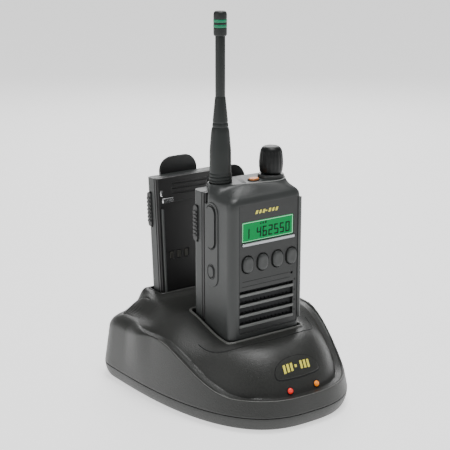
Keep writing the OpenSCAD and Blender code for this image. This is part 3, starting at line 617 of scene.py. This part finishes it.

# %% [markdown]
# Two fine lines finish the roof: a crease in front of the radio, which is the front half of a
# superellipse of power 3 laid on the roof, and the edge of the rim round the nose, lighter in colour
# as a painted highlight.

# %% Crease and rim line
SHELF_HALF_X, SHELF_HALF_Y, SHELF_MID_Y = 44.3, 34.5, -10
shelf = np.linspace(-0.96 * np.pi, -0.04 * np.pi, 260)
shelf_x = SHELF_HALF_X * np.sign(np.cos(shelf)) * np.abs(np.cos(shelf)) ** (2 / 3)
shelf_y = SHELF_MID_Y - SHELF_HALF_Y * np.abs(np.sin(shelf)) ** (2 / 3)
keep = shelf_y < -20
shelf_path = np.column_stack([shelf_x, shelf_y, roof_at(shelf_x, shelf_y)])[keep]
# The crease is a dark bead: painted shade along the bend in the roof.
piece("shelf_line", bead(shelf_path, 0.28, closed=False), "charger", DARK_SEAM_AND_SHADE)
rim_a = even_angles(AROUND)
rim_x, rim_y = plan(rim_a, RIM_INSET - 0.3)
rim_keep = rim_y < 0
rim_loop = np.column_stack([rim_x, rim_y, ridge_height(plan(rim_a, 0)[1]) - 0.12])[rim_keep]
order = np.argsort(np.arctan2(rim_loop[:, 0], -rim_loop[:, 1]))
piece("rim_edge", bead(rim_loop[order], 0.30, closed=False), "charger", RIM_HIGHLIGHT)
print("crease:", len(shelf_path), "points, rim line:", len(rim_loop), "points")

# %% [markdown]
# The tray needs no new idea: it is a short list of insets and heights on the same plan curve.

# %% Base tray
around = even_angles(AROUND)
TRAY_TOP = tray_high[2]
tray_rows = [(3.9, 1.0), (3.4, 1.05), (2.9, 1.35), (2.3, 2.2), (1.6, 3.6), (1.0, 5.2), (0.6, 7.2),
             (0.35, TRAY_TOP - 0.5), (0.45, TRAY_TOP - 0.1), (0.8, TRAY_TOP), (1.5, TRAY_TOP),
             (1.5, SHELL_Z + 0.4)]
tray = np.array([np.stack([*plan(around, i), np.full(AROUND, z)], -1) for i, z in tray_rows])
piece("base_tray_skin", sheet_mesh(tray, cap_start=True, cap_end=True), "charger",
      FINISH["charger_plastic"], ("charger_base_tray",))
for name in ("charger_feet", "dc_socket"):
    eased(name, 0.2)
print("tray and feet dressed")

# %% [markdown]
# ## Badge and lamps
# The badge is a thin plate that follows the dome, so it is draped: rings of one outline, drawn
# in step by step towards its middle, are laid on the roof formula and lifted by its thickness.
# A darker plate under it, a little larger, gives the joint line. The lamps are domes that stand
# square to the roof, each in a dark ring.

# %% Badge and lamps
BADGE_Y = -67.0
LAMP_X, LAMP_Y = 10.5, -73.3


def badge_outline(grow):
    """Shield in plan: x is a cosine, narrower in the lower half; y a sine, flatter below."""
    a = np.linspace(0, 2 * np.pi, 96, endpoint=False)
    below = np.sin(a) < 0
    x = (17 + grow) * np.cos(a) * np.where(below, 1 + 0.14 * np.sin(a), 1)
    y = np.where(below, 3.3, 5.2) + grow * 0.6
    return x, BADGE_Y + y * np.sign(np.sin(a)) * np.abs(np.sin(a)) ** np.where(below, 0.6, 0.9)


def draped(grow, lift):
    """Rings of the outline at shrinking fractions, laid on the roof; the outermost turns down."""
    x, y = badge_outline(grow)
    rings = [np.column_stack([x, y, roof_at(x, y) - 1.5])]
    for f in (1.0, 0.985, 0.95, 0.8, 0.6, 0.4, 0.2, 0.04):
        px, py = x * f, BADGE_Y + (y - BADGE_Y) * f
        edge = 0.25 if f == 1.0 else 0.0
        rings.append(np.column_stack([px, py, roof_at(px, py) + lift - edge]))
    return sheet_mesh(np.array(rings), cap_start=True, cap_end=True)


def roof_frame(x, y):
    """A point of the roof, the direction square to it, and two directions in it."""
    z = lambda a, b: float(roof_at(np.array([a]), np.array([b]))[0])
    dx, dy = z(x + 0.5, y) - z(x - 0.5, y), z(x, y + 0.5) - z(x, y - 0.5)
    out = np.array([-dx, -dy, 1.0]) / math.sqrt(1 + dx * dx + dy * dy)
    side = np.cross([0, 1.0, 0], out)
    side = side / np.linalg.norm(side)
    return np.array([x, y, z(x, y)]), out, side, np.cross(out, side)


def stud(x, y, profile, sides=40):
    """A turned profile of (radius, height) pairs standing square to the roof."""
    at, out, side, up = roof_frame(x, y)
    t = np.linspace(0, 2 * np.pi, sides, endpoint=False)
    round_ = np.cos(t)[:, None] * side + np.sin(t)[:, None] * up
    return sheet_mesh(np.array([at + r * round_ + h * out for r, h in profile]),
                      cap_start=True, cap_end=True)


def badge_bar(x, wide, low, high, slant):
    """A slanted bar draped on the badge, between two fractions of the badge's height."""
    u, v = np.meshgrid(np.linspace(0, 1, 5), np.linspace(low, high, 9))
    px, py = x + wide * u + slant * v, BADGE_Y - 2.6 + 6.4 * v
    top = np.stack([px, py, roof_at(px, py) + 0.78], -1)
    under = np.stack([px, py, roof_at(px, py) + 0.4], -1)
    grid = np.stack([under[:, 0], top[:, 0], *top[:, 1:-1].transpose(1, 0, 2),
                     top[:, -1], under[:, -1]], 1)
    return sheet_mesh(grid, cap_start=True, cap_end=True)


piece("badge_gasket", draped(0.75, 0.3), "charger", DARK_SEAM_AND_SHADE)
piece("badge_plate", draped(0, 0.6), "charger", FINISH["charger_plastic"],
      ("charger_badge",))
BARS = [(-11.5, 0.25, 0.75), (-8.7, 0.25, 0.75), (-5.9, 0.25, 0.75), (-2.6, 0.42, 0.58),
        (1.8, 0.25, 0.75), (4.6, 0.25, 0.75), (7.4, 0.25, 0.75)]
piece("badge_marks", joined([badge_bar(x, 1.7, a, b, 1.6) for x, a, b in BARS]), "charger",
      MARK)
LAMP = [(1.9, -1.5), (1.9, 0.2), (1.75, 0.8), (1.35, 1.35), (0.8, 1.65), (0.2, 1.75)]
RING = [(2.5, -1.5), (2.5, 0.15), (2.3, 0.35), (1.95, 0.3), (1.95, -1.4)]
for node, x in (("led_red", -LAMP_X), ("led_amber", LAMP_X)):
    piece(node + "_lens", stud(x, LAMP_Y, LAMP), "charger", FINISH[slot_of[node]],
          (node,))
    piece(node + "_ring", stud(x, LAMP_Y, RING), "charger", DARK_SEAM_AND_SHADE)
print("badge and lamps done")

# %% [markdown]
# ## The radio's pieces
# The mouldings of the radio already have their true outlines and openings, so each one is a copy
# of its CAD solid with its edges eased. Turned pieces are made again as surfaces of revolution,
# because their silhouettes are what the eye follows.

# %% Eased mouldings
CROWN_Z = 131.5
eased("front_housing", 0.45, 3, top=CROWN_Z + 1)
for name in ("battery_case", "battery_cover", "spare_case", "spare_cover"):
    eased(name, 0.45, 3)
for name in ("side_bezel", "ptt_button", "monitor_button", "jack_cover", "belt_clip",
             "latch_left", "latch_right", "spare_belt_clip", "spare_latch_left",
             "spare_latch_right", "alert_button", "display_trim"):
    eased(name, 0.35, 3)
eased("display_window", 0.3)
print("mouldings eased")

# %% [markdown]
# A sharp corner in a profile catches no light. The crown and the turned pieces all have their
# corners cut back a little and rounded with a short curve before they are swept.

# %% Softened profiles
def softened(profile, cut_mm):
    """Each inner corner of a profile replaced by a short quadratic curve."""
    p = np.array(profile, float)
    out = [p[:1]]
    for before, here, after in zip(p[:-2], p[1:-1], p[2:]):
        a, b = before - here, after - here
        la, lb = np.linalg.norm(a), np.linalg.norm(b)
        a, b = here + a / la * min(cut_mm, la / 2), here + b / lb * min(cut_mm, lb / 2)
        t = np.linspace(0, 1, 4)[:, None]
        out.append((1 - t) ** 2 * a + 2 * t * (1 - t) * here + t ** 2 * b)
    return np.concatenate(out + [p[-1:]])


# %% [markdown]
# ## The housing's crown
# A moulded case has no sharp hips: its top runs in one soft curve from the wall to the control
# island. The crown is a loft between two outlines, both read as a distance from one centre in
# every direction, so that a single number blends one into the other as the height grows.

# %% Crown
ISLAND = ((15.5, -12.0, 12.5), (-16.5, -7.0, 9.0))
ISLAND_Z = span("knob_collar")[0][2]
CROWN_HUB = np.array([0.0, -14.0])
CASE_X, CASE_FRONT, CASE_BACK = 28.52, -34.02, -5.0
BACK_STEP_Z = 139.4


def island_outline(inset, count=720):
    """Hull of two circles: for every direction, the point of the circle that reaches further."""
    a = np.linspace(0, 2 * np.pi, count, endpoint=False)
    n = np.stack([np.cos(a), np.sin(a)], -1)
    (x1, y1, r1), (x2, y2, r2) = ISLAND
    first = (n @ np.array([x1, y1]) + r1 > n @ np.array([x2, y2]) + r2)[:, None]
    return np.where(first, np.array([x1, y1]) + (r1 - inset) * n,
                    np.array([x2, y2]) + (r2 - inset) * n)


def polar_reach(outline, directions):
    """Distance from the crown's hub to an outline in each direction."""
    p = denser(outline, 0.1) - CROWN_HUB
    angle = np.arctan2(p[:, 1], p[:, 0])
    order = np.argsort(angle)
    return np.interp(directions, angle[order], np.linalg.norm(p, axis=1)[order],
                     period=2 * np.pi)


def crown_grid():
    """Rows of the loft: reach = (1 - s) * case + s * island, where s and the height follow a
    softened profile. At the back the island overhangs, so there s steps from 0 to 1."""
    a = np.linspace(-np.pi, np.pi, 540, endpoint=False)
    case = polar_reach(rounded_outline(-CASE_X, CASE_X, CASE_FRONT, CASE_BACK, 5), a)
    island = polar_reach(island_outline(0), a)
    slope = 9.0
    path = softened([(0, CROWN_Z), (0, 139.2), (slope - 0.5, ISLAND_Z - 0.7), (slope, ISLAND_Z)], 3.4)
    levels = [tuple(row) for row in path]
    levels += [(np.interp(z, path[:, 1], path[:, 0]), z) for z in (BACK_STEP_Z - 0.1, BACK_STEP_Z)]
    rows = []
    for d, z in sorted(levels, key=lambda level: level[1]):
        s = np.where(island > case, float(z >= BACK_STEP_Z), d / slope)
        reach = (1 - s) * case + s * island
        rows.append(np.column_stack([CROWN_HUB[0] + reach * np.cos(a),
                                     CROWN_HUB[1] + reach * np.sin(a), np.full(len(a), z)]))
    return np.array(rows)


crown = piece("housing_crown", sheet_mesh(crown_grid(), cap_start=True, cap_end=True), "radio",
              FINISH["radio_plastic"])
cut(crown, prism(rounded_outline(-22, 25.5, -37, CASE_FRONT + 0.7, 0.2), 120, 135.5), "panel_tool")
cut(crown, prism(rounded_outline(-0.1, 7.9, -17, -11, 2.8), 140, 150), "button_tool")
dress(crown, "radio", FINISH["radio_plastic"], (), 35)
# A pale bead along the island's front edge: a painted highlight.
ISLAND_EDGE_HIGHLIGHT = plastic("island_edge_painted_highlight", (0.42, 0.43, 0.42), 4, 0.01, 0.4)
ring = denser(island_outline(0.35), 0.3)
front_arc = ring[(ring[:, 1] < -13) & (ring[:, 0] > -8)]
front_arc = front_arc[np.argsort(front_arc[:, 0])]
apart = np.linalg.norm(np.diff(front_arc, axis=0), axis=1) > 0.05
front_arc = front_arc[np.concatenate([[True], apart])]
piece("island_line", bead(np.column_stack([front_arc, np.full(len(front_arc), ISLAND_Z)]), 0.22,
      closed=False), "radio", ISLAND_EDGE_HIGHLIGHT)
print("crown:", len(crown.data.polygons), "faces")

# %% [markdown]
# ## Keys
# A key is a soft pebble: its outline is a superellipse, and each ring inwards stands a little
# further out, so that the light rolls over it and leaves a bright crescent at its lower edge.


# %% Keys
def key_cap(node):
    """Rings of |x/a|^2.4 + |z/b|^2.4 = 1, drawn in and raised along a quarter ellipse, with a
    small dish in the middle."""
    low, high = span(node)
    mid, half = (low + high) / 2, (high - low) / 2 - 1.2
    a = np.linspace(0, 2 * np.pi, 72, endpoint=False)
    x = half[0] * np.sign(np.cos(a)) * np.abs(np.cos(a)) ** (2 / 2.4)
    z = half[2] * np.sign(np.sin(a)) * np.abs(np.sin(a)) ** (2 / 2.4)
    face = low[1]
    rings = [(1.0, high[1] - 0.1), (1.0, face + 0.5)]
    for t in np.linspace(0.15, np.pi / 2, 9):
        rings.append((1 - 0.42 * (1 - math.cos(t)), face + 0.5 - 0.85 * math.sin(t)))
    rings += [(0.35, face - 0.27), (0.04, face - 0.22)]
    grid = np.array([np.column_stack([mid[0] + f * x, np.full(72, y), mid[2] + f * z])
                     for f, y in rings])
    return sheet_mesh(grid, cap_start=True, cap_end=True)


for name in ("key_1", "key_2", "key_3", "key_4"):
    piece(name + "_cap", key_cap(name), name, FINISH["soft_rubber"], (name,), 60)
print("key caps done")


# %% [markdown]
# ## Turned pieces
# The antenna, its cap and bands, the knob and its collar are surfaces of revolution: a profile of
# (radius, height) pairs swept round an axis, once its corners are softened.


# %% Turned pieces
def turned(profile, centre, base, cut_mm=0.3, sides=96, flutes=0, depth=0.0, band=(0, 1)):
    """Profile swept round a vertical axis. Flutes: the radius is lessened by depth times a
    power of a cosine, inside the band of heights only."""
    rz = softened(profile, cut_mm)
    t = np.linspace(0, 2 * np.pi, sides, endpoint=False)
    r, z = rz[:, :1], rz[:, 1:]
    if flutes:
        inside = ease(band[0], band[0] + 0.8, z) * (1 - ease(band[1] - 0.8, band[1], z))
        r = r - depth * inside * (0.5 + 0.5 * np.cos(flutes * t)[None]) ** 1.5
    else:
        r = r + 0 * t[None]
    points = np.stack([centre[0] + r * np.cos(t), centre[1] + r * np.sin(t), base + z + 0 * r], -1)
    return sheet_mesh(points, cap_start=True, cap_end=True)


low, high = span("antenna_boot")
aerial = ((low[0] + high[0]) / 2, (low[1] + high[1]) / 2)
boot = [(2.4, 0), (7.3, 0), (7.6, 0.4), (7.6, 1.5), (7.0, 1.9), (7.5, 2.3), (7.5, 3.7),
        (6.9, 4.1), (7.4, 4.5), (7.4, 5.8), (6.9, 6.2), (7.0, 6.6), (6.9, 20.8), (5.9, 33),
        (5.35, 35.4), (4.9, 35.9), (5.2, 36.5), (5.05, 38.2), (4.6, 38.7), (4.95, 39.3),
        (3.4, 55), (2.9, 55)]
piece("antenna_boot_skin", turned(boot, aerial, low[2], 0.35), "radio", FINISH["antenna_rubber"],
      ("antenna_boot",))
low, high = span("antenna_whip")
piece("antenna_whip_skin", turned([(2.5, 0), (3.15, 0), (3.15, high[2] - low[2]),
      (2.5, high[2] - low[2])], aerial, low[2], 0.2), "radio", FINISH["antenna_rubber"],
      ("antenna_whip",))
low, high = span("antenna_cap")
cap = [(2.5, 0), (3.6, 0), (4.25, 0.8), (4.25, 5.3), (3.85, 5.4), (3.85, 7.3), (4.25, 7.4),
       (4.25, 8.5), (3.85, 8.6), (3.85, 10.5), (4.25, 10.6), (4.25, 13.4), (3.95, 14.8),
       (3.0, 15.55), (0.4, 15.6)]
piece("antenna_cap_skin", turned(cap, aerial, low[2], 0.5), "radio", FINISH["antenna_rubber"],
      ("antenna_cap",))
bands = [turned([(3.9, 0), (4.35, 0.0), (4.35, 1.9), (3.9, 1.9)], aerial, low[2] + z, 0.3)
         for z in (5.4, 8.6)]
piece("antenna_band_rings", joined(bands), "radio", FINISH["green_band"],
      ("antenna_bands",))

low, high = span("knob_collar")
knob_axis = ((low[0] + high[0]) / 2, (low[1] + high[1]) / 2)
collar = [(4.0, 0), (8.9, 0), (8.6, 1.2), (8.2, 2.2), (4.0, 2.2)]
piece("knob_collar_skin", turned(collar, knob_axis, low[2], 0.4), "radio",
      FINISH["collar_metal"], ("knob_collar",))
KNOB_Z = high[2] + 0.4
knob = [(3.0, 0), (6.8, 0), (7.5, 1.2), (7.9, 4.0), (8.0, 7.0), (7.7, 11.5), (7.0, 15.4),
        (5.6, 17.3), (4.0, 17.8), (0.3, 17.8)]
shaft_low = span("volume_knob")[0][2] - KNOB_Z
shaft = [(0.3, shaft_low), (3.0, shaft_low), (3.0, 1.0), (0.3, 1.0)]
piece("volume_knob_skin", joined([
      turned(knob, knob_axis, KNOB_Z, 0.9, 288, 18, 0.22, (2.6, 15.2)),
      turned(shaft, knob_axis, KNOB_Z, 0.3)]), "volume_knob", FINISH["knob_plastic"],
      ("volume_knob",), 50)
print("turned pieces done")


# %% [markdown]
# ## Display, marks and grille
# The display shows digits made of seven bars each, which is how such a panel draws them. The
# maker's word is left out: plain slanted bars stand in its place.


# %% Bars and digits
def bar(x0, x1, z0, z1, y0, y1, lean=0.0, ease_mm=0.12):
    """A flat bar on a front face with a chamfered front: three rounded rings, sheared by lean."""
    rings = []
    for y, inset in ((y1, 0), (y0 + ease_mm, 0), (y0, ease_mm)):
        o = rounded_outline(x0 + inset, x1 - inset, z0 + inset, z1 - inset,
                            min(0.25, (x1 - x0) / 2.2 - inset, (z1 - z0) / 2.2 - inset), 3)
        rings.append(np.column_stack([o[:, 0] + lean * (o[:, 1] - z0), np.full(len(o), y), o[:, 1]]))
    return sheet_mesh(np.array(rings), cap_start=True, cap_end=True)


SEGMENTS = {"0": "abcdef", "1": "bc", "2": "abged", "4": "fgbc", "5": "afgcd", "6": "afgedc"}


def digit(char, x, z, w, h, y0, y1, t=0.95):
    """One seven-segment digit with its lower left corner at (x, z)."""
    m = h / 2
    place = {"a": (0.3, w - 0.3, h - t, h), "g": (0.3, w - 0.3, m - t / 2, m + t / 2),
             "d": (0.3, w - 0.3, 0, t), "f": (0, t, m, h - 0.2), "e": (0, t, 0.2, m),
             "b": (w - t, w, m, h - 0.2), "c": (w - t, w, 0.2, m)}
    return [bar(x + a, x + b, z + c, z + d, y0, y1, 0.08, 0.01)
            for a, b, c, d in (place[s] for s in SEGMENTS[char])]


low, high = span("display_window")
LCD_Y = low[1] - 0.05
digits = []
for k, char in enumerate("1 462550"):
    if char != " ":
        digits += digit(char, low[0] + 2.2 + 4.6 * k, low[2] + 1.9, 3.5, 6.8, LCD_Y, LCD_Y + 0.1)
digits += [bar(low[0] + 14 + 2 * k, low[0] + 15.2 + 2 * k, low[2] + 10.3, low[2] + 11.2 + 0.3 * k,
               LCD_Y, LCD_Y + 0.1, 0, 0.01) for k in range(3)]
piece("lcd_digits", joined(digits), "radio", LCD_INK)
# A pale, glowing frame round the window: a painted highlight along its bevel.
border = [(low[0] + 0.3, high[0] - 0.3, high[2] - 0.75, high[2] - 0.35),
          (low[0] + 0.3, high[0] - 0.3, low[2] + 0.3, low[2] + 0.6),
          (high[0] - 0.75, high[0] - 0.3, low[2] + 0.3, high[2] - 0.35),
          (low[0] + 0.3, low[0] + 0.6, low[2] + 0.3, high[2] - 0.35)]
piece("lcd_border", joined([bar(*b, LCD_Y - 0.02, LCD_Y + 0.1, 0, 0.02) for b in border]),
      "radio", LCD_EDGE_HIGHLIGHT)

PANEL_Y = span("front_housing")[0][1] + 0.7
marks = [bar(x, x + 1.7, 128.4, 130.8, PANEL_Y - 0.12, PANEL_Y + 0.1, 0.35)
         for x in (-9.0, -6.2, -3.4, 1.2, 4.0, 6.8)]
marks.append(bar(-1.2, 0.4, 129.2, 130.0, PANEL_Y - 0.12, PANEL_Y + 0.1, 0.35))
piece("front_marks", joined(marks), "radio", MARK)
lips = [bar(-21.3, 22.3, z - 0.95, z + 0.95, PANEL_Y - 0.75, PANEL_Y + 0.2, 0, 0.35)
        for z in (55.0, 61.9, 68.8, 75.7)]
LIP = plastic("lip_plastic", (0.14, 0.145, 0.14), 2.4, 0.16, 0.5)
piece("grille_lips", joined(lips), "radio", LIP)
print("display, marks and lips done")

# %% [markdown]
# The panel is framed by a groove on its left, drawn as a dark bar of painted shade, and a rail on
# its right, lighter in colour as a painted highlight. The other fine dark lines are the gaps between
# mouldings: bars a few hundredths of a millimetre proud on the panel, and thin beads round the side
# controls and the alert button.

# %% Panel lines, rail and seams
# The first bar is painted shade in the sunk panel's left corner.
seams = [bar(-21.95, -21.2, 50.4, 135.2, PANEL_Y - 0.05, PANEL_Y + 0.2, 0, 0.02),
         bar(25.1, 25.6, 50.4, 135.2, PANEL_Y - 0.04, PANEL_Y + 0.2, 0, 0.02)]
seams += [bar(-19, 19.5, z, z + 0.4, PANEL_Y - 0.04, PANEL_Y + 0.1, 0, 0.02) for z in (81.2, 84.6)]
seams += [bar(22.9, 24.0, z, z + 1.3, PANEL_Y - 0.04, PANEL_Y + 0.1, 0, 0.02)
          for z in (57.5, 64.4, 71.3, 78.6)]
piece("panel_lines", joined(seams), "radio", DARK_SEAM_AND_SHADE)
# The lighter rail tone is a painted highlight: on the case's right front edge here, and on the spare
# pack's side rails below.
RAIL_HIGHLIGHT = plastic("rail_painted_highlight", (0.085, 0.09, 0.088), 3, 0.05, 0.36)
FRONT_Y = span("front_housing")[0][1]
piece("side_rail", bar(25.9, 28.35, 52, 134.6, FRONT_Y - 0.35, FRONT_Y + 4.2, 0, 1.0), "radio",
      RAIL_HIGHLIGHT)


def side_loop(node, grow, out):
    """Dark seam round a side control: a stadium in the (y, z) plane, just outside its face."""
    (x0, y0, z0), (_, y1, z1) = span(node)
    half = (y1 - y0) / 2 + grow
    path = denser(rounded_outline(y0 - grow, y1 + grow, z0 - grow, z1 + grow, half - 0.01), 0.5)
    points, faces = bead(np.column_stack([path, np.zeros(len(path))]), 0.22)
    return np.asarray(points)[:, [2, 0, 1]] + np.array([out, 0, 0]), faces


bezel_x = span("side_bezel")[0][0]
loops = [side_loop("ptt_button", 0.35, bezel_x), side_loop("monitor_button", 0.35, bezel_x)]
piece("side_seams", joined(loops), "radio", DARK_SEAM_AND_SHADE)
ring = denser(rounded_outline(-0.1, 7.9, -17, -11, 2.8), 0.4)
piece("alert_ring", bead(np.column_stack([ring, np.full(len(ring), ISLAND_Z + 0.05)]), 0.34),
      "radio", DARK_SEAM_AND_SHADE)
print("lines, rail and seams done")

# %% [markdown]
# ## Details of the spare pack
# The pack's inner face shows the steel catches that hold it in the radio, three dark pads and a
# slim rail down each side. The clips' thumb levers have a rolled rim. They are built in the
# pack's own upright frame and then leaned into place with it. The pack's three charging contacts,
# low on its outer face, are not among them yet: the catches replace their node too.

# %% Spare pack details
CATCH_STEEL = metal("catch_steel", (0.86, 0.87, 0.88), 0.22)
RADIO_PACK_PLACE = np.array([0, -4.7, 20.7])


def leaned_mesh(mesh_parts):
    """Points and faces with the points leaned into place."""
    points, faces = mesh_parts
    return leaned(points), faces


def lever_rim(width, low_z, high_z, radius):
    """Outline of the thumb lever: two sides joined by quarter circles, open at its foot."""
    t = np.linspace(0, np.pi / 2, 14)
    right = np.stack([width - radius + radius * np.cos(t), high_z - radius + radius * np.sin(t)], -1)
    left = right[::-1] * [-1, 1]
    return np.concatenate([[[width, low_z]], right, left, [[-width, low_z]]])


catches = [bar(s * 20.5 - 4.4, s * 20.5 + 4.4, 101.2, 104.6, -1.5, 0.9, 0.0, 0.4) for s in (-1, 1)]
catches += [bar(s * 25.2 - 0.8, s * 25.2 + 0.8, 106.2, 110.0, -1.1, 0.9, 0.0, 0.3) for s in (-1, 1)]
piece("spare_catches", leaned_mesh(joined(catches)), "spare_battery", CATCH_STEEL,
      ("spare_contacts",))
# The spare pack's side rails take the same lighter tone, a painted highlight along each ridge.
rails = [bar(s * 24.8 - 0.8, s * 24.8 + 0.8, 3, 97, -1.1, 0.9, 0.0, 0.35) for s in (-1, 1)]
piece("spare_rails", leaned_mesh(joined(rails)), "spare_battery", RAIL_HIGHLIGHT)
pads = [bar(x - 1.4, x + 1.4, 61.2, 65.8, 0.9, 1.6, 0.0, 0.2) for x in (-18, -12, -6)]
PAD_TONE = metal("pad_tone", (0.10, 0.10, 0.09), 0.5)
piece("spare_pads", leaned_mesh(joined(pads)), "spare_battery", PAD_TONE)
rim_line = lever_rim(14.9, 118, 128.9, 9.5)
rim_path = np.column_stack([rim_line[:, 0], np.full(len(rim_line), 16.6), rim_line[:, 1]])
for name, body, place in (("spare_lever_rim", "spare_belt_clip", leaned),
                          ("lever_rim", "belt_clip", lambda q: q + RADIO_PACK_PLACE)):
    points, faces = bead(rim_path, 0.55, closed=False)
    piece(name, (place(points), faces), body, FINISH["clip_plastic"])
print("spare pack details done")

# %% [markdown]
# ## Studio
# A plain pale floor, a pale world and three large soft lights: a weak key from the left, a strong
# light overhead, and a rim light behind. Black plastic shows little colour of its own, so what
# the eye reads as its shape is mostly the reflection of the floor and of these lights.

# %% Floor, world and lights
bpy.ops.mesh.primitive_plane_add(size=8, location=(0, 0, 0))
floor = bpy.context.object
floor.name = "studio_floor"
paper = Finish("floor_paper", Roughness=0.6, Specular_IOR_Level=0.2)
paper.set("Base Color", paper.mix(paper.noise(0.02, 2), (0.80, 0.80, 0.80), (0.84, 0.84, 0.84)))
paper.set("Emission Color", (1.0, 1.0, 1.0))
paper.set("Emission Strength", 1.1)
floor.data.materials.append(paper.data)
world = bpy.data.worlds.new("studio")
world.use_nodes = True
world.node_tree.nodes["Background"].inputs["Color"].default_value = (1, 1, 1, 1)
world.node_tree.nodes["Background"].inputs["Strength"].default_value = 0.30
bpy.context.scene.world = world


def soft_light(name, place, aim_at, size, watts):
    """A square area light at a place, turned so that it looks at a point."""
    data = bpy.data.lights.new(name, "AREA")
    data.shape, data.size, data.energy = "SQUARE", size, watts
    lamp = bpy.data.objects.new(name, data)
    lamp.location = place
    direction = np.array(aim_at) - np.array(place)
    lamp.rotation_euler = (math.atan2(math.hypot(direction[0], direction[1]), -direction[2]), 0,
                           math.atan2(direction[0], -direction[1]) + math.pi)
    bpy.context.collection.objects.link(lamp)


soft_light("key", (-1.0, 0.05, 0.45), (0, 0, 0.08), 0.45, 1.5)
soft_light("top", (0.06, -0.10, 1.15), (0, -0.03, 0.06), 0.45, 10)
soft_light("rim", (0.58, 0.80, 0.62), (0, 0, 0.08), 0.60, 5)
print("studio ready")
